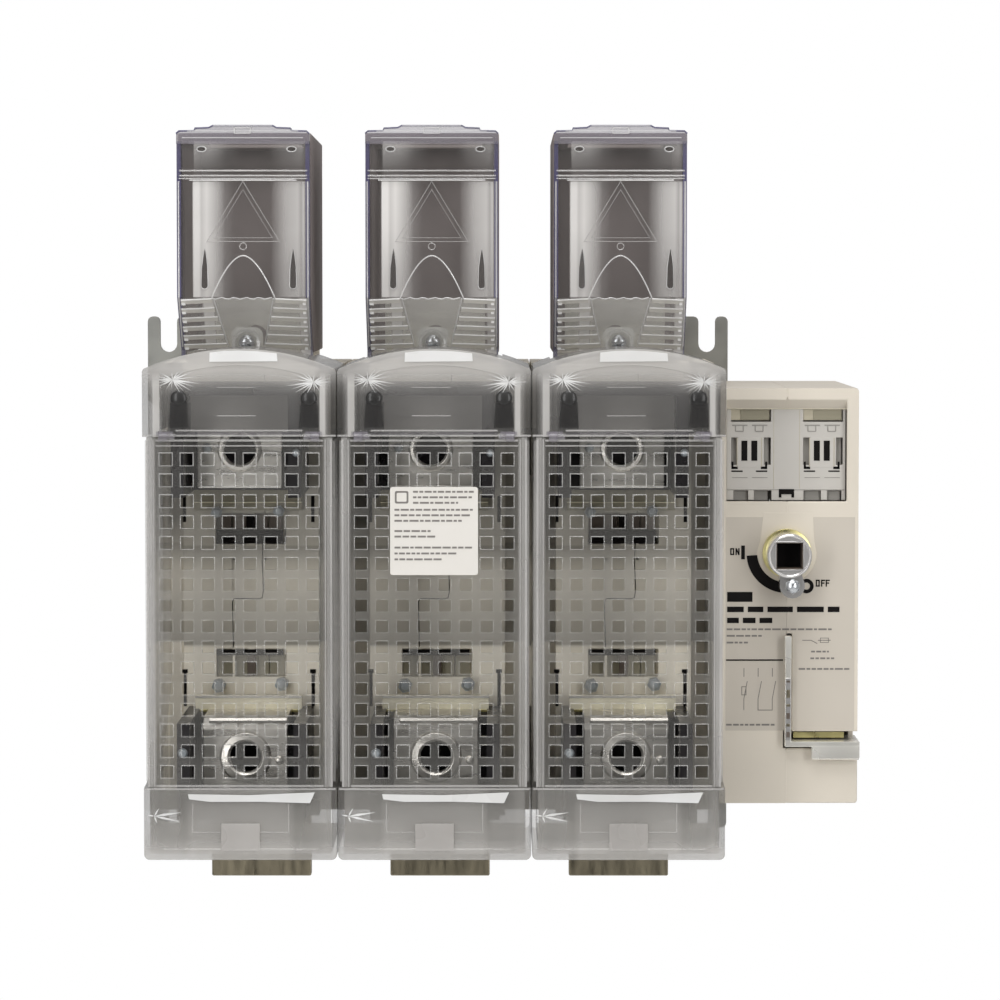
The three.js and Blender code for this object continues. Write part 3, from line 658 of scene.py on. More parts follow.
def fuse_cover(n, x):
    b = Build()
    for c in range(COLUMNS):
        for r in range(ROWS):
            vent_cell(b, x + (c - (COLUMNS - 1) / 2) * CELL_X, FIRST_Z - r * CELL_Z)
    left, right = x - COLUMNS / 2 * CELL_X, x + COLUMNS / 2 * CELL_X
    high, low = FIRST_Z + CELL_Z / 2, FIRST_Z - (ROWS - 0.5) * CELL_Z
    top, bottom = JOINT_TOP - JOINT_GAP, JOINT_BOTTOM + JOINT_GAP
    front, back, side_back = COVER_FRONT, COVER_FRONT + WALL, -114.3
    b.box(left, right, front, back, high, top)
    b.box(left, right, front, back, bottom, low)
    for s in (-1, 1):
        b.box(*beside(x, s, 45.6, 50.5), front, back, bottom, top, 3)
        profile = [(front + 1, top), *swing(191.2, front + 1, side_back, 14), (side_back, top)]
        b.prism(profile, "x", *beside(x, s, 47.5, 50.5), 4)
        for at, wide in ((46.4, 0.7), (49.3, 1.1)):
            bar(b, *beside(x, s, at, at + wide), bottom, top - 1.1, 1, front, 0.5, 0.5)
        for y in (-233, -205, -184, -163, -142):
            foot = swing(190.2, y + 3, y + 3, 1)[0][1] + 1
            b.box(*beside(x, s, 50, 51.8), y, y + 3, foot, top - 2, 4)
        b.rod((front, JOINT_TOP), 2.6, "x", *beside(x, s, 39.1, 43.6), 24, 2)
        b.rod((front, JOINT_TOP), 1.2, "x", *beside(x, s, 35.2, 40), 12, 2)
    lines = ((top - 2.2, top - 1.1, 0.6), (top - 4.9, top - 4.2, 0.4), (bottom, bottom + 1.2, 0.5))
    for z0, z1, rise in lines:
        bar(b, left, right, z0, z1, 1, front, rise, 0.5)
    mats = [COVER, LINE, LILAC, FLANGE, SIDE, CELL_RIM]
    ob = b.done(f"fuse_cover_{n}", mats, "clear_cover", weld=0.01, body=f"cover_{n}")
    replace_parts(ob, f"pole_{n}_fuse_cover")


# ---- end caps

CAP_TOP = 139.6
CAP_SHOULDER = 128.4
CAP_LOW = -139.6
POLE_HALF = 52.7
STAR = [(-8, 14, 1.3), (22, 12, 1.1), (-30, 11, 1), (55, 7, 0.9), (180, 10, 1.4), (205, 9, 1.1)]
STAR += [(-60, 8, 0.9), (150, 8, 1), (236, 6, 0.8), (95, 5, 0.7), (8, 12, 0.8), (-18, 12, 0.9)]
STAR += [(38, 9, 0.8), (168, 9, 1), (192, 9, 0.9), (-45, 8, 0.8), (262, 5, 0.6)]


def arch(x, inset, z0, top_inset):
    """Outline (x, z) of the arched cap, drawn in by inset at its sides and top_inset at its top."""
    half = POLE_HALF - inset
    rise = CAP_TOP - CAP_SHOULDER
    r = (POLE_HALF**2 + rise**2) / (2 * rise)
    span = degrees(asin((half - 3) / r))
    crown = arc((x, CAP_TOP - r), r - top_inset, 90 - span, 90 + span, 40)
    end = crown[0][1]
    right = [(x + half, z0), (x + half, end - 2.5), (x + half - 0.8, end - 0.9)]
    return [(x - half, z0), *right, *crown, (x - half + 0.8, end - 0.9), (x - half, end - 2.5)]


def shape(method, *args):
    b = Build()
    getattr(b, method)(*args)
    return b


def rays(b, x, z, y, spokes, mat):
    """Thin tapered streaks of light from one point, as (angle, length, width)."""
    for angle, length, wide in spokes:
        a = radians(angle)
        dx, dz = cos(a), sin(a)
        u, v = x + dx * length * 0.35, z + dz * length * 0.35
        half = wide / 2
        tip = (x + dx * length, z + dz * length)
        outline = [(x, z), (u - dz * half, v + dx * half), tip, (u + dz * half, v - dx * half)]
        b.prism(outline, "y", y, y + 0.12, mat)


def upper_cap(n, x):
    z0 = JOINT_TOP + JOINT_GAP
    front, back = COVER_FRONT, CAP_BACK
    hinge = (front, JOINT_TOP)
    ob = shape("prism", arch(x, 0, z0, 0), "y", front, back).done(
        f"upper_cap_{n}", [CAP, EDGE, FROST, BLACK], "clear_cap", bevel=0.5
    )
    cut(
        ob,
        shape("prism", arch(x, WALL, z0 - 5, WALL), "y", front + WALL, back + 5),
        shape("box", x - 42, x + 37, -161.5, back + 5, 118, 150),
        shape("prism", arch(x, 9.5, z0 + 3.5, 9), "y", front - 1, front + 0.9),
        *[shape("rod", hinge, 3.2, "x", *beside(x, s, 38.8, 43.9), 24) for s in (-1, 1)],
    )
    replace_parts(ob, f"pole_{n}_upper_cap")
    t = Build()
    knob = [(0.01, front - 0.3), (3.2, front - 0.25), (4.4, front + 0.6), (4.5, -216), (0.01, -216)]
    for s, cx in ((-1, x - 32.8), (1, x + 37.9)):
        t.rod(hinge, 2.6, "x", *beside(x, s, 34.5, 38.6), 24)
        t.lathe(knob, (cx, 112.6), 28, 1)
        foot = [(cx - 4.2, 111), (cx - 5.4, z0 + 5), (cx + 5.4, z0 + 5), (cx + 4.2, 111)]
        t.prism(foot, "y", front - 0.12, front - 0.05, 4)
        t.box(cx - 5.2, cx + 5.2, front + 4, -222, z0 + 2, 110, 4)
        t.box(*beside(x, s, 41.9, 43.4), front + 1, -150, z0 + 4, 124)
        bar(t, *beside(x, s, 36, 45), z0 + 0.2, z0 + 2.9, 5, front, 0.4, 0.6)
    bar(t, x - 52.5, x + 52.5, z0 + 0.2, z0 + 1.2, 2, front, 0.5, 0.6)
    bar(t, x - 34.5, x + 34.5, z0 + 3, z0 + 3.9, 2, front, 0.3, 0.6)
    bar(t, x - 34.5, x + 34.5, z0 + 1, z0 + 2.4, 3, front, -3, 8)
    for low, high in ((103, 103.5), (118.5, 118.9)):
        bar(t, x - 12, x + 9, low, high, 2, front, -0.7, 1)
    glint = [(x - 16, 132.6), (x + 21, 132.9), (x + 20.6, 137.2), (x + 10, 138.3), (x, 138.7)]
    glint += [(x - 8, 138.5), (x - 15.8, 137.6)]
    t.prism(glint, "y", front - 0.35, front - 0.2, 6)
    # A dark hazy sheet behind the cap's front: painted shade.
    t.box(x - 41.5, x + 41.5, -206, -205, z0 + 1, 121, 7)
    # Two stars of streaks, painted highlights, each drawn twice: short bright streaks over longer soft
    # ones.
    for cx, cz, flip in ((x - 36, 122.8, False), (x + 40.5, 121.6, True)):
        for grow, thin, mat, lift in ((1, 0.62, 6, 0.3), (1.5, 0.95, 8, 0.15)):
            spokes = [(180 - a if flip else a, length * 0.72 * grow, w * thin) for a, length, w in STAR]
            rays(t, cx, cz, front - lift, spokes, mat)
    mats = [CAP, KNOB, LINE, LILAC, PILLAR, LILAC, SHEEN, SHADE_FOG, GLOW]
    t.done(f"upper_cap_trim_{n}", mats, "clear_cap")


def lower_cap(n, x):
    z1 = JOINT_BOTTOM - JOINT_GAP
    low = CAP_LOW
    front, back = COVER_FRONT, CAP_BACK
    outline = [
        (x - POLE_HALF, z1),
        *arc((x - POLE_HALF + 3, low + 3), 3, 180, 270, 6),
        *arc((x + POLE_HALF - 3, low + 3), 3, 270, 360, 6),
        (x + POLE_HALF, z1),
    ]
    ob = shape("prism", outline, "y", front, back).done(
        f"lower_cap_{n}", [LOWER, EDGE, FROST], "clear_cap", bevel=0.5
    )
    cut(
        ob,
        shape("box", x - 49.7, x + 49.7, front + WALL, back + 5, low + WALL, z1 + 5),
        shape("prism", round_rect(x - 43, x + 43, low + 6, z1 - 3.5, 2), "y", front - 1, front + 0.8),
    )
    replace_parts(ob, f"pole_{n}_lower_cap")
    t = Build()
    profile = [(back, z1 - 1), *swing(191.8, back, front + 3, 18), (front + 3, z1 - 1)]
    for s in (-1, 1):
        t.prism(profile, "x", *beside(x, s, 49.7, 52.7))
        bar(t, *beside(x, s, 41, 47), z1 - 1.2, z1 - 0.2, 1, front, 0.4, 0.6)
    bar(t, x - 52, x + 52, z1 - 1.3, z1 - 0.3, 1, front, 0.5, 0.6)
    tab = round_rect(x - 10.5, x + 10.5, low + 5, low + 20, 0.4)
    t.prism(tab, "y", front - 0.4, front + 0.6, 2)
    for x0, x1, top in ((-26.5, 26.5, low + 15.4), (-26.5, -26.1, z1 - 9), (26.1, 26.5, z1 - 9)):
        bar(t, x + x0, x + x1, low + 15, top, 1, front, -0.6, 0.95)
    # A dark hazy sheet behind the cap's front: painted shade.
    t.box(x - 49.2, x + 49.2, -233.5, -232.9, low + 4, z1 - 1.5, 4)
    glint = [(x - 28.6, -103.4), (x + 5, -103.9), (x + 40.7, -102.4), (x + 38, -108.3)]
    glint += [(x + 10, -107.5), (x - 16.6, -107.6), (x - 28, -106.2)]
    t.prism(glint, "y", front - 0.3, front - 0.15, 3)
    # A small star of streaks, painted highlights.
    spokes = [(8, 15, 1.3), (-12, 14, 1.2), (60, 5, 0.9), (-70, 4, 0.9), (170, 4, 0.8)]
    rays(t, x - 47, -115.5, front - 0.15, spokes, 3)
    t.done(f"lower_cap_trim_{n}", [LOWER, LINE, FROST, SHEEN, LOWER_SHADE_SHEET], "clear_cap")


# ---- line shrouds

LID_HALF = 37.3
LID_WALL = 2.5
LID_UPPER_Y, LID_LOWER_Y = -160, -131
SLOPE_TOP, SLOPE_LOW = 167, 137
SCREW_Z = 141


def lid_front(u, z):
    """Depth of the lid's face at u from its middle: upright, then sloping back below, and bowed."""
    climb = min(1, max(0, (z - SLOPE_LOW) / (SLOPE_TOP - SLOPE_LOW)))
    bow = max(0, 1 - (u / 30) ** 2)
    return LID_LOWER_Y + (LID_UPPER_Y - LID_LOWER_Y) * climb + 2 - 1.3 * bow


def skin(b, us, zs, thick, place):
    """A sheet over a grid of (u, z), thick millimetres deep, closed round its border."""
    out, inn = ([b.verts([place(u, z, depth) for u in us]) for z in zs] for depth in (0, thick))
    right, top = len(us) - 1, len(zs) - 1
    for side, grid in enumerate((out, inn)):
        for i in range(top):
            for j in range(right):
                quad = (grid[i][j], grid[i][j + 1], grid[i + 1][j + 1], grid[i + 1][j])
                b.join(quad if side else quad[::-1])
    border = [(0, j) for j in range(right)] + [(i, right) for i in range(top)]
    border += [(top, j) for j in range(right, 0, -1)] + [(i, 0) for i in range(top, 0, -1)]
    for (i, j), (p, q) in zip(border, [*border[1:], border[0]]):
        b.join((out[i][j], inn[i][j], inn[p][q], out[p][q]))


def oval(u, z, wide, high, pace, n):
    """n points round an ellipse, pace of them to each radian."""
    return [(u + wide * cos(a / pace), z + high * sin(a / pace)) for a in range(n)]


def lid_body(n, cx, top_edge):
    """The lid itself: bowed front, sides, head, screw boss and the terminal's end behind it."""
    h = LID_HALF
    b = Build()
    us = [-h, -33.5, *[-30 + 2.5 * i for i in range(25)], 33.5, h]
    zs = [131.5, 134, SLOPE_LOW, 144.5, 152, 159.5, SLOPE_TOP, 180, 200, 220, 240, 254.5]
    skin(b, us, zs, LID_WALL, lambda u, z, depth: (cx + u, lid_front(u, z) + depth, z))
    b.prism([(cx - h, 253), (cx + h, 253), *top_edge], "y", -160.4, -145.8, 2)
    side = [(-157.9, 254.5), (-145.8, 254.5), (-145.8, 165.8), (-116.3, 134.8), (-116.3, 131.5)]
    side += [(-128.9, 131.5), (-128.9, SLOPE_LOW), (-157.9, SLOPE_TOP)]
    for s in (-1, 1):
        b.prism(side, "x", *beside(cx, s, h - 2.3, h), 1)
    b.lathe([(8, -136.5), (8, -126.4), (6.2, -126.4), (6.2, -136.2)], (cx, SCREW_Z), 32)
    rounded = [*arc((cx + 4.2, 144.8), 5, 0, 90, 5), *arc((cx - 4.2, 144.8), 5, 90, 180, 5)]
    b.prism([(cx - 9.2, 133), (cx + 9.2, 133), *rounded], "y", -127.6, -126.6, 3)
    ob = b.done(f"shroud_lid_{n}", [LID, VIOLET, LILAC, TERMINAL], "clear_cap")
    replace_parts(ob, f"pole_{n}_shroud_lid")


def lid_trim(n, cx, top_edge):
    """Moulded lines, louvres, blank triangle, drops and eyelets on the lid."""
    t = Build()

    def on(u, z, out=0.3):
        return (cx + u, lid_front(u, z) - out, z)

    for z, r in ((233.6, 0.35), (235.2, 0.5), (238, 0.5)):
        t.tube([on(u, z) for u in range(-36, 37, 3)], r, mat=1)
    t.tube([on(u, 232.68, 0.2) for u in range(-30, 33, 3)], 0.35, mat=3)
    for high, low, half, r in ((232, 198.3, 20.4, 0.5), (227.4, 200.4, 16.4, 0.35)):
        t.tube([on(0, high), on(-half, low), on(half, low)], r, True, 1)
    t.tube([on(*p) for p in oval(0, 195.6, 1.9, 1.9, 3, 19)], 0.25, True, 1)
    across = [-18 + 1.2 * i for i in range(31)]
    t.tube([on(u, 190.4 - 24.4 * abs(u / 18) ** 1.8, 0.2) for u in across], 0.4)
    t.tube([on(u, 166.4 + 0.5 * sin(u * 0.9), 0.1) for u in range(-18, 18, 2)], 0.35)
    for s in (-1, 1):
        t.tube([on(s * 16.8, 166.4, 0.1), on(s * 10.4, 139.6, 0.1)], 0.4)
        t.tube([on(s * 36.3, z, 0.1) for z in (139, 150, 167, 190, 215, 232)], 0.45, mat=0)
        for i in range(6):
            z = 165.2 - 5.1 * i
            near = 18.4 - 7.6 * (167 - z) / 28
            line = [(s * (near + (35.4 - near) * k / 6), z + (0.9 - 0.4 * k / 3)) for k in range(7)]
            upper = [on(u, v, 0.5) for u, v in line]
            lower = [on(u, v - 2.3, 0.9) for u, v in line]
            for k in range(6):
                t.face((upper[k], upper[k + 1], lower[k + 1], lower[k]), 2)
            t.tube(upper, 0.45, mat=3)
        for i in range(6):
            z = 164 - 5.1 * i
            y = lid_front(34, z)
            ends = sorted((cx + s * 33 + 0.2, cx + s * 35))
            t.box(*ends, y - 0.6, y - 0.3, z - 1.5, z + 1.5, 3)
    for u in (-21.7, 27.9):
        drop = arc((u, 173.6), 1.9, 180, 360, 8)
        drop += [(u + 1.7, 184), (u + 1.1, 190), (u + 0.2, 194.5), (u - 0.8, 190), (u - 1.6, 184)]
        y = lid_front(u, 180)
        t.prism([(cx + p, q) for p, q in drop], "y", y - 0.5, y - 0.35, 4)
        t.tube([on(p, q, 0.4) for p, q in drop], 0.25, True, 0)
    # Eyelets: a whitish ring round each, a painted highlight, about its dark middle.
    for u in (-23.2, 27.3):
        t.tube([on(*p) for p in oval(u, 250.1, 2.6, 1.5, 3, 19)], 0.3, True, 0)
        y = lid_front(u, 250)
        t.prism(oval(cx + u, 250, 2.2, 1.1, 2, 12), "y", y - 0.5, y - 0.3, 4)
    frame_lines = [(-4.8, 4.8, 258.6, 259.1), (-4.8, 4.8, 261.6, 262.1)]
    frame_lines += [(-4.8, -4.2, 258.6, 262.1), (4.2, 4.8, 258.6, 262.1)]
    for x0, x1, low, high in frame_lines:
        t.box(cx + x0, cx + x1, -161.2, -158, low, high)
    for z, half in ((263.1, 16.5), (260.2, 31), (256.4, 34)):
        t.box(cx - half, cx + half, -160.9, -160.2, z - 0.3, z + 0.2)
    t.tube([(p, -160.4, q - 0.4) for p, q in top_edge], 0.45, mat=5)
    t.done(f"shroud_lid_trim_{n}", [EDGE, LINE, RIB, RIM, SMOKE, VIOLET], "clear_cap")


def lid_screw(n, cx):
    b = Build()
    head = [(0.01, -133.6), (2.6, -133.4), (4.2, -132.2), (4.6, -130.6), (4.6, -129.4), (0.01, -129.4)]
    b.lathe(head, (cx, SCREW_Z), 28)
    b.rod((cx, SCREW_Z), 2, "y", -129.6, -117, 16)
    screw = b.done(f"shroud_screw_{n}", [STEEL], "zinc_steel")
    for half, low, high in ((3, 0.5, 0.5), (0.5, 3, 3)):
        slot = shape("box", cx - half, cx + half, -135, -132.2, SCREW_Z - low, SCREW_Z + high)
        cut(screw, slot)
    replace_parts(screw, f"pole_{n}_shroud_screw")


def shroud_lid(n, x):
    cx = x + LINE_X
    h = LID_HALF
    half = [(h, 259.1), (h - 1.5, 260.5), (h - 10, 260.7), (h - 10.5, 262.1), (19, 262.4), (17, 263.5)]
    top_edge = [(cx + u, z) for u, z in half] + [(cx - u, z) for u, z in half[::-1]]
    lid_body(n, cx, top_edge)
    lid_trim(n, cx, top_edge)
    lid_screw(n, cx)


# ---- switch pole details


def hex_bolt(b, x, z, y0, y1, r, mat):
    b.prism(circle((x, z), r, 6, 0.2), "y", y0, y1, mat)
    b.lathe([(0.01, y0 - 1.2), (r * 0.55, y0 - 1), (r * 0.8, y0), (0.01, y0)], (x, z), 20, mat)


def boss(b, x, z, rim, mat):
    """A raised rim of (radius, height) points on a fuse contact's face."""
    b.lathe([(r, CONTACT_FRONT - rise) for r, rise in rim], (x, z), 40, mat)


def dome(b, x, z, y, points, mat):
    """A small domed head of (radius, height) points on a face at y."""
    b.lathe([(r, y - rise) for r, rise in points], (x, z), 20, mat)


CONTACT_FRONT = -195.1
INSULATOR_FRONT = -229.1
SHELL_FRONT = -137.9
GLASS_BACK = -131.1


def pole_details(n, x):
    """Rims, screws, bars and windows that show through the fuse cover."""
    b = Build()
    u = x + LINE_X
    boss(b, u, 83, [(8.9, 0), (8.9, 1.1), (9.8, 1.8), (11.6, 1.3), (12.4, 0)], 0)
    dome(b, u - 18.1, 83.8, CONTACT_FRONT, [(0.01, 2.3), (1.6, 2), (2.5, 1), (2.7, 0), (0.01, 0)], 1)
    b.box(u - 23, u + 23, -195.9, CONTACT_FRONT, 61.8, 63, 3)
    dome(b, u + 33, 82.6, INSULATOR_FRONT, [(0.01, 3.1), (1.4, 2.7), (2.1, 1.4), (2.2, 0), (0.01, 0)], 1)
    boss(b, x, -88.45, [(8.9, 0), (8.9, 1.1), (10, 1.9), (13.4, 1.4), (14.6, 0)], 0)
    dome(b, x + 18.9, -90.1, CONTACT_FRONT, [(0.01, 2.3), (1.6, 2), (2.3, 1), (2.5, 0), (0.01, 0)], 0)
    dome(b, x - 32.2, -82.3, INSULATOR_FRONT, [(0.01, 2.9), (1.8, 2.6), (2.6, 1.3), (2.8, 0), (0.01, 0)], 1)
    fold = [(-195.1, -69.5), (-197, -69.2), (-197.6, -67.8), (-196.4, -66.3), (-195.1, -66.1)]
    b.prism(fold, "x", x - 20, x + 23.2)
    for bolt in (
        (x - 19.1, 45.1, -145.4, -142, 3.4),
        (x + 16.1, 45.7, -145.4, -142, 3.4),
        (x - 18.3, -53.9, -146, -138.2, 4),
        (x + 17.5, -53, -146, -138.2, 4),
    ):
        hex_bolt(b, *bolt, 1)
    for x0, x1, y0, y1, z0, z1, mat in (
        # bridge bar above, in cream darkened as painted shade under the contact plate; brass bar below
        (-32.3, 29.1, -142, -138.2, 46, 50.3, 4),
        (-32.3, 29.1, -141.4, -138.2, 50.9, 57.6, 4),
        (-32.3, 29.1, -142.3, -138.2, 50.3, 50.9, 5),
        (-31, 29.4, -152.5, -144.5, -67.6, -58.8, 5),
        (-31, 29.4, -153, -152.3, -60, -58.6, 3),
        (-31, 29.4, -153, -152.3, -67.9, -66.5, 6),
        # black strips and posts of the indicator windows
        (-19.8, 18.4, -139, SHELL_FRONT, 27, 34.6, 8),
        (-2.6, 2.2, -138.9, SHELL_FRONT, 34.6, 43.6, 8),
        (-19.8, 18.4, -139, SHELL_FRONT, -36.8, -33.6, 8),
        (-2.4, 2.2, -138.8, SHELL_FRONT, -49, -36.8, 7),
    ):
        b.box(x + x0, x + x1, y0, y1, z0, z1, mat)
    for x0, x1 in ((-19.6, -11.4), (-10.6, -3.2), (3, 9.2), (10, 17.2)):
        b.box(x + x0, x + x1, -133.5, GLASS_BACK, 34.6, 43.2, 7)
    for x0, x1 in ((-19.6, -9.8), (-9.2, -2.4), (2.8, 9.6), (10.2, 18.6)):
        b.box(x + x0, x + x1, -133.5, GLASS_BACK, -49.2, -37.2, 4)
    # side grooves with dark ends
    for x0, x1 in ((x - 38.7, x - 37), (x + 34.2, x + 36.1)):
        b.box(x0, x1, -138.5, SHELL_FRONT, 39.1, 54, 8)
        b.box(x0, x1, -138.5, SHELL_FRONT, -66, -46, 8)
        b.box(x0 - 0.8, x1 + 0.6, -138.7, SHELL_FRONT, -47, -45, 8)
    mats = [TIN, NUT, TIN, BRIGHT, CREAM_DEEP_SHADED, YELLOW, BRASS, BROWN, VOID]
    b.done(f"pole_details_{n}", mats, "tin_plated", bevel=0.15)


def pole_seam(n, x):
    """The stepped parting line of the two shell halves, and cream strips over the gaps behind it."""
    b = Build()
    for x0, x1, low, top in ((-10.7, -9.3, -66, 18.6), (-10.7, 8.7, 17.3, 18.7), (7.3, 8.7, 17.3, 34)):
        b.box(x + x0, x + x1, -138, -137.8, low, top, 1)
    if n < len(POLES):
        b.box(x + 52.3, x + 53.7, -138.1, -137.3, -66, 66, 1)
    line = [(6.7, 27.8), (6.3, 16), (6.7, 8), (6.9, -0.5), (6.2, -4), (4.4, -4.7), (-9.4, -4.5)]
    line += [(-10.7, -6), (-10.6, -14), (-10.2, -32)]
    b.tube([(x + u, -138.15, z) for u, z in line], 0.24, n=6)
    b.done(f"pole_seam_{n}", [VOID, SHELL], "cream_body")


def sticker():
    """Plain paper sticker on the middle cover, with grey blocks in place of its lines."""
    b = Build()
    y = COVER_FRONT - 0.4
    b.prism(round_rect(-24, 23.8, 16.6, 64.6, 1.5), "y", y - 0.25, y)
    rows = [(62, -11.5, 21.5), (59, -11.5, 20.5), (56, -11.5, 13), (52.2, -21.6, 21)]
    rows += [(49.2, -21.6, 20.4), (46.2, -21.6, 15), (40.6, -21.6, -2), (37.6, -21.6, 0.5)]
    rows += [(31.6, -21.6, 21.6), (28.4, -21.6, 12), (25.2, -21.6, 4)]
    for z, x0, x1 in rows:
        words(b, x0, x1, z - 0.5, z + 0.5, 1, y - 0.2)
    b.prism(round_rect(-21.4, -14, 55.6, 62.4, 1), "y", y - 0.36, y - 0.2, 1)
    b.prism(round_rect(-20.4, -15, 56.6, 61.4, 0.6), "y", y - 0.42, y - 0.3)
    b.done("cover_sticker", [STICKER, INK_GREY], "clear_cover", body="cover_2")


# ---- mechanism housing

HOLDER_FRONT = -160
PARTING = (196.55, 197.45)


def label_sheets(b):
    """Label sheets either side of the shaft, with the cream neck between them."""
    neck = arc(SHAFT, 17, 180, 360, 28)
    left = [(162.8, -77), (197.05, -77), (197.05, 6.4), *[p for p in neck if p[0] < 196.8][::-1]]
    print_on(b, [*left, (182, 30), (183.6, 43.6), (162.8, 43.6)], 0)
    right = [(235.4, 43.6), (235.4, -77.3), (200.6, -77.3), (200.6, -22), (197.15, -22), (197.15, 6.4)]
    right += [p for p in neck if p[0] >= 197.2]
    print_on(b, [*right, (212.6, 30), (211.8, 43.6)][::-1], 0)


def handle_marks(b):
    """The quarter-turn band, ON with its bar, OFF with its ring, and a rule."""
    print_on(b, arc(SHAFT, 22.6, 184, 262, 26) + arc(SHAFT, 16.6, 262, 184, 26), 1, 0.26)
    bar(b, 171.4, 173.5, 19.8, 27.6, 1, depth=0.26)
    for word, x, z in (("ON", 165.2, 22.2), ("OF", 213.4, 4.4), ("F", 219, 4.4)):
        for i, kind in enumerate(word):
            letter(b, kind, x + 3 * i, z, 2.3, 3.9, 0.75, 1)
    inside, outside = HOUSING_FRONT + SINK, HOUSING_FRONT - 0.26
    b.lathe([(2, inside), (4.1, inside), (4.1, outside), (2, outside)], (208.2, 4.7), 28, 1)
    bar(b, 163.1, 195.2, -37.5, -36.7, 1, depth=0.26)


def diagrams(b):
    """A plain three-pole diagram and a single-line one."""
    for x in (173.2, 181.2, 189.2):
        bar(b, x - 0.2, x + 0.2, -46.5, -41.6, 2, depth=0.22)
        bar(b, x - 0.2, x + 0.2, -65.4, -59, 2, depth=0.22)
        print_on(b, [(x - 0.2, -59), (x + 0.2, -59), (x + 2.1, -49), (x + 1.7, -49)], 2, 0.22)
    print_on(b, [(210.8, -26.1), (214.4, -28), (214.4, -27.5), (211, -25.7)], 2, 0.22)
    for sides in (
        (171.8, 172.2, -57, -52),
        (174.2, 174.6, -57, -52),
        (171.8, 174.6, -52.4, -52),
        (171.8, 174.6, -57, -56.6),
    ):
        bar(b, *sides, 2, depth=0.24)
    for sides in (
        (181, 189.4, -65.6, -65.2),
        (206, 211, -26.1, -25.7),
        (214.8, 222, -26.1, -25.7),
        (216, 216.3, -27.3, -24.5),
        (220.6, 220.9, -27.3, -24.5),
        (216, 220.9, -24.8, -24.5),
        (216, 220.9, -27.3, -27),
    ):
        bar(b, *sides, 2, depth=0.22)


def housing_label():
    b = Build()
    label_sheets(b)
    handle_marks(b)
    for x0, x1, z0, z1, mat in (
        (163.6, 186, -4.2, 1.4, 1),
        (163.6, 232, -10, -6.9, 1),
        (163.6, 190, -16.2, -13.2, 1),
        (163.4, 222.5, -20.2, -19.2, 2),
        (163.4, 184, -23.9, -22.9, 2),
        (163.4, 177, -27.7, -26.7, 2),
        (211, 221, -32.8, -31.8, 2),
        (210.6, 224, -36.6, -35.6, 2),
        (204, 232.6, -42.6, -41.6, 2),
        (163.2, 191.6, -74.2, -73.2, 2),
    ):
        words(b, x0, x1, z0, z1, mat)
    diagrams(b)
    b.done("housing_label", [LABEL, INK, INK_GREY], "cream_body")


def housing_trim():
    """Mould ridges, the web over the parting line, the raised neck and the shaft's ring."""
    b = Build()
    for y0, y1, z0, z1 in (
        (-165.05, -164.2, 43.8, 52.2),
        (-165.05, -164.2, 110.9, 115.4),
        (-164, -100, 115.2, 116.02),
        (-165.05, -164.2, -118, -88),
    ):
        b.box(*PARTING, y0, y1, z0, z1)
    b.prism([(-164.6, 109.9), (-160.4, 104.6), (-159.4, 104.6), (-163.6, 110.4)], "x", *PARTING)
    b.box(160.2, 236.6, -160, -157, 113.3, 114.2)
    # Thin lines in shaded cream: painted shade along the top and across the front.
    for y in (-140, -120, -60):
        b.box(160.4, 236.4, y, y + 1.4, 115.6, 116.08, 1)
    b.box(163.4, 230.4, -164.9, -164.4, 104.2, 104.7, 1)
    b.box(161.5, 232.2, -162.7, -162.3, 109.8, 110.3, 1)
    neck = [(183.9, 46), (211.6, 46), (212.3, 30), *arc(SHAFT, 16.4, 0, -180, 28), (182.2, 30)]
    b.prism(neck[::-1], "y", -165.12, -164.9)
    b.lathe([(12.3, -165.2), (13.7, -165.2), (13.7, -168), (12.3, -168.3)], SHAFT, 48, 2)
    b.box(201.5, 230, -160.5, -158.5, -81.6, -78.2, 2)
    b.done("housing_trim", [CREAM, CREAM_SHADED, BRASS], "cream_body", bevel=0.15)


def aux_block(b, x):
    """Front details of one auxiliary contact block, its left edge at x."""
    y = HOLDER_FRONT
    # The shaded creams are painted shade: in the top recess and down both sides of the window.
    for x0, x1, y0, y1, z0, z1, mat in (
        (0, 22.4, 1.4, 2.2, 97.9, 103.9, 1),
        (6.2, 22.2, 1, 1.8, 98.2, 103.6, 2),
        (0.2, 22.2, 3, 3.8, 72.9, 88, 3),
        (4.4, 17.8, -0.1, 3.4, 71.2, 88, 0),
        (4, 4.4, -0.2, 0, 71, 88, 1),
        (17.8, 18.2, -0.2, 0, 71, 88, 1),
        (6.6, 10, -0.3, 0, 75.1, 86.4, 4),
        (12.2, 15.6, -0.3, 0, 75.1, 86.4, 4),
        # dark corners, left then right
        (1, 4.6, -0.2, 0.2, 70.4, 71.8, 4),
        (1, 2.2, -0.2, 0.2, 70.4, 74.6, 4),
        (1, 7.4, -0.15, 0.1, 68.8, 69.6, 4),
        (17.6, 21.2, -0.2, 0.2, 70.4, 71.8, 4),
        (20, 21.2, -0.2, 0.2, 70.4, 74.6, 4),
        (14.8, 21.2, -0.15, 0.1, 68.8, 69.6, 4),
    ):
        b.box(x + x0, x + x1, y + y0, y + y1, z0, z1, mat)
    for u in (x + 1.4, x + 12.6):
        bar(b, u, u + 8.6, 94.8, 95.4, 3, y, 0.3, 0.05)
        for v in (u + 1.6, u + 6):
            bar(b, v, v + 0.5, 91.6, 94.9, 3, y, 0.3, 0.05)
        bar(b, u + 2, u + 6.2, 91.4, 91.9, 3, y, 0.3, 0.05)
        bar(b, u, u + 8.8, 65.4, 65.8, 3, y, 0.15, 0.05)
        b.box(u, u + 9, y + 2.4, y + 3, 52.6, 58, 3)


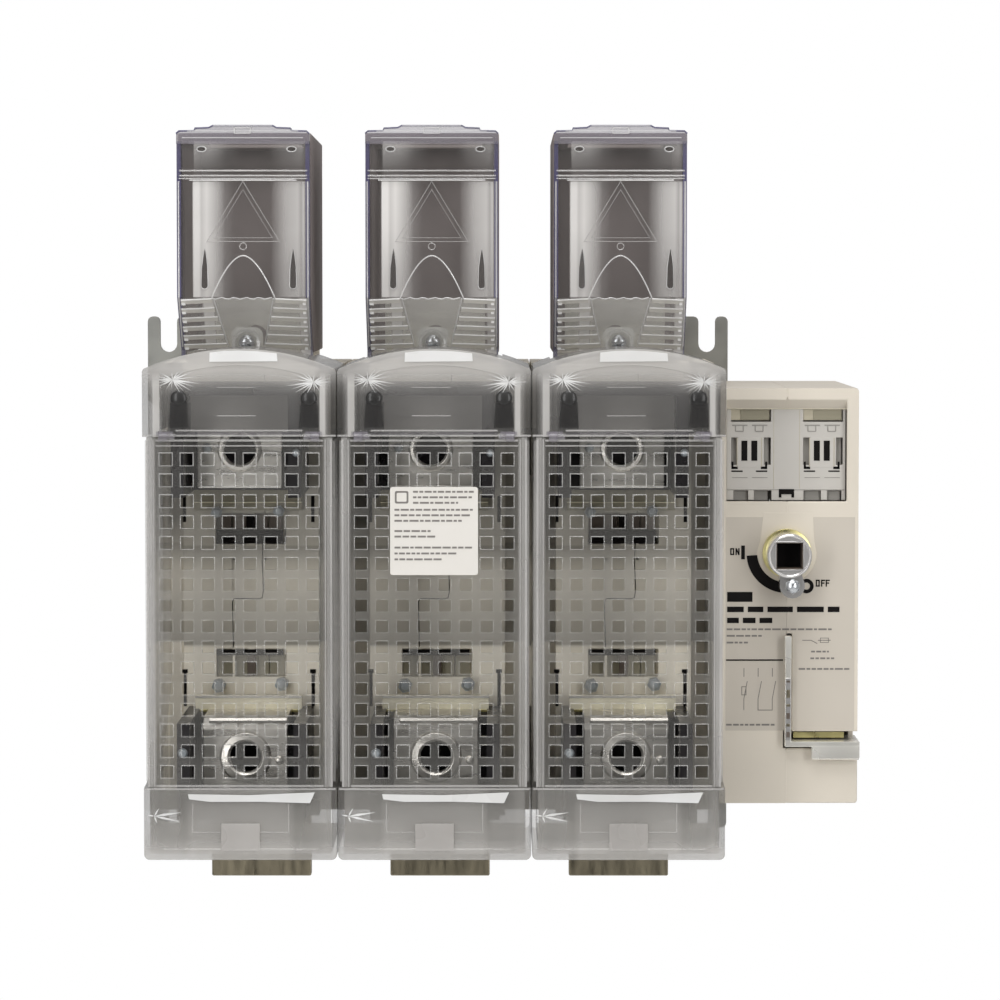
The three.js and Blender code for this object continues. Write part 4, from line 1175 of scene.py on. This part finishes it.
def aux_details():
    b = Build()
    for x in (165, 205.8):
        aux_block(b, x)
    hook = [(192.8, 54.4), (192.8, 59.1), (201.4, 59.1), (201.4, 54.4)]
    hook += [(199.9, 54.4), (199.9, 56.2), (194.3, 56.2), (194.3, 54.4)]
    b.prism(hook, "y", HOLDER_FRONT - 0.35, HOLDER_FRONT + 0.1, 4)
    bar(b, 163.6, 230, 58.6, 58.9, 3, HOLDER_FRONT, 0.25, 0.1)
    for x in (189.7, 204.2):
        bar(b, x, x + 0.3, 59.4, 103.6, 1, HOLDER_FRONT, 0.1, 0.1)
    mats = [GREY, CREAM_SHADED, CREAM_DEEP_SHADED, SHADE, INK]
    b.done("aux_block_details", mats, "grey_holder", bevel=0.12)


def square_frame(b, half, inner, y0, y1, mat):
    """Four walls round the shaft's square socket."""
    sx, sz = SHAFT
    for x0, x1, z0, z1 in (
        (-half, half, -half, -inner),
        (-half, half, inner, half),
        (-half, -inner, -inner, inner),
        (inner, half, -inner, inner),
    ):
        b.box(sx + x0, sx + x1, y0, y1, sz + z0, sz + z1, mat)


def coupling():
    """The drive socket's walls, lip and dark floor, and the clamp bolt under it. The brown walls and black
    floor are painted shade inside the socket.
    """
    sx, sz = SHAFT
    b = Build()
    square_frame(b, 7.55, 7, -189, -175.6, 0)
    square_frame(b, 8.2, 7.5, -190.5, -189.8, 1)
    b.box(sx - 7, sx + 7, -176.6, -174.4, sz - 7, sz + 7, 2)
    ring = [(10.6, -189.9), (11.4, -190.6), (12.1, -190.2), (12.3, -189), (10.6, -189)]
    b.lathe(ring, SHAFT, 48, 1)
    b.done("coupling_socket", [BROWN, CHROME, VOID], "chrome_coupling", bevel=0.1, body="drive")
    bolt = Build()
    bolt.prism(circle((198.8, 6.4), 4.35, 6, 0.5), "y", -190.6, -186.3)
    crown = [(0.01, -191.9), (1.6, -191.7), (3, -191), (3.7, -190.4), (0.01, -190.4)]
    bolt.lathe(crown, (198.8, 6.4), 24)
    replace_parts(bolt.done("clamp_bolt", [STEEL], "zinc_steel", bevel=0.25, body="drive"), "clamp_screw")


def padlock_face():
    """Bright bend and edge of the padlock slide, with the dull patches on the edge."""
    b = Build()
    bend = [(-172.3, -92.2), (-171.2, -93), (-169.9, -92.6), (-169.6, -84.8), (-167.6, -83.2)]
    bend += [(-139, -83.2), (-139, -82.6), (-168.6, -82.6), (-171.2, -83.4), (-172.3, -85.2)]
    b.prism(bend, "x", 211.4, 237.6)
    b.box(196.2, 199.2, -172.2, -171.9, -46.5, -24.5)
    b.box(196.2, 199.2, -172.2, -171.9, -81.8, -46.7, 1)
    patches = ((-78.5, 3.2, 3), (-73.2, 1.6, 2), (-68, 3.4, 3), (-62, 1.4, 2), (-55.5, 4.6, 2))
    for z, tall, mat in (*patches, (-48.6, 1.2, 3)):
        b.box(196.7, 198.7, -172.3, -171.9, z - tall / 2, z + tall / 2, mat)
    mats = [BRIGHT, CHROME, TIN_DULL, BROWN]
    b.done("padlock_slide_face", mats, "zinc_steel", bevel=0.15, body="padlock")


# ---- all pieces
# words() draws at random, so the sticker comes before the housing's label.

for n, x in enumerate(POLES, 1):
    fuse_cover(n, x)
    upper_cap(n, x)
    lower_cap(n, x)
    shroud_lid(n, x)
    pole_seam(n, x)
    pole_details(n, x)
sticker()
housing_label()
housing_trim()
aux_details()
coupling()
padlock_face()

# ---- stage

FLOOR_X, FLOOR_Y, FLOOR_Z = 2.5, 2.4, -0.9
corners = [(-FLOOR_X, -FLOOR_Y), (FLOOR_X, -FLOOR_Y), (FLOOR_X, FLOOR_Y), (-FLOOR_X, FLOOR_Y)]
floor = bpy.data.objects.new("floor", bpy.data.meshes.new("floor"))
floor.data.from_pydata([(x, y, FLOOR_Z) for x, y in corners], [], [(0, 1, 2, 3)])
floor.data.materials.append(plastic("floor", (0.82, 0.82, 0.82), 0.7, 0.01))
scene.collection.objects.link(floor)
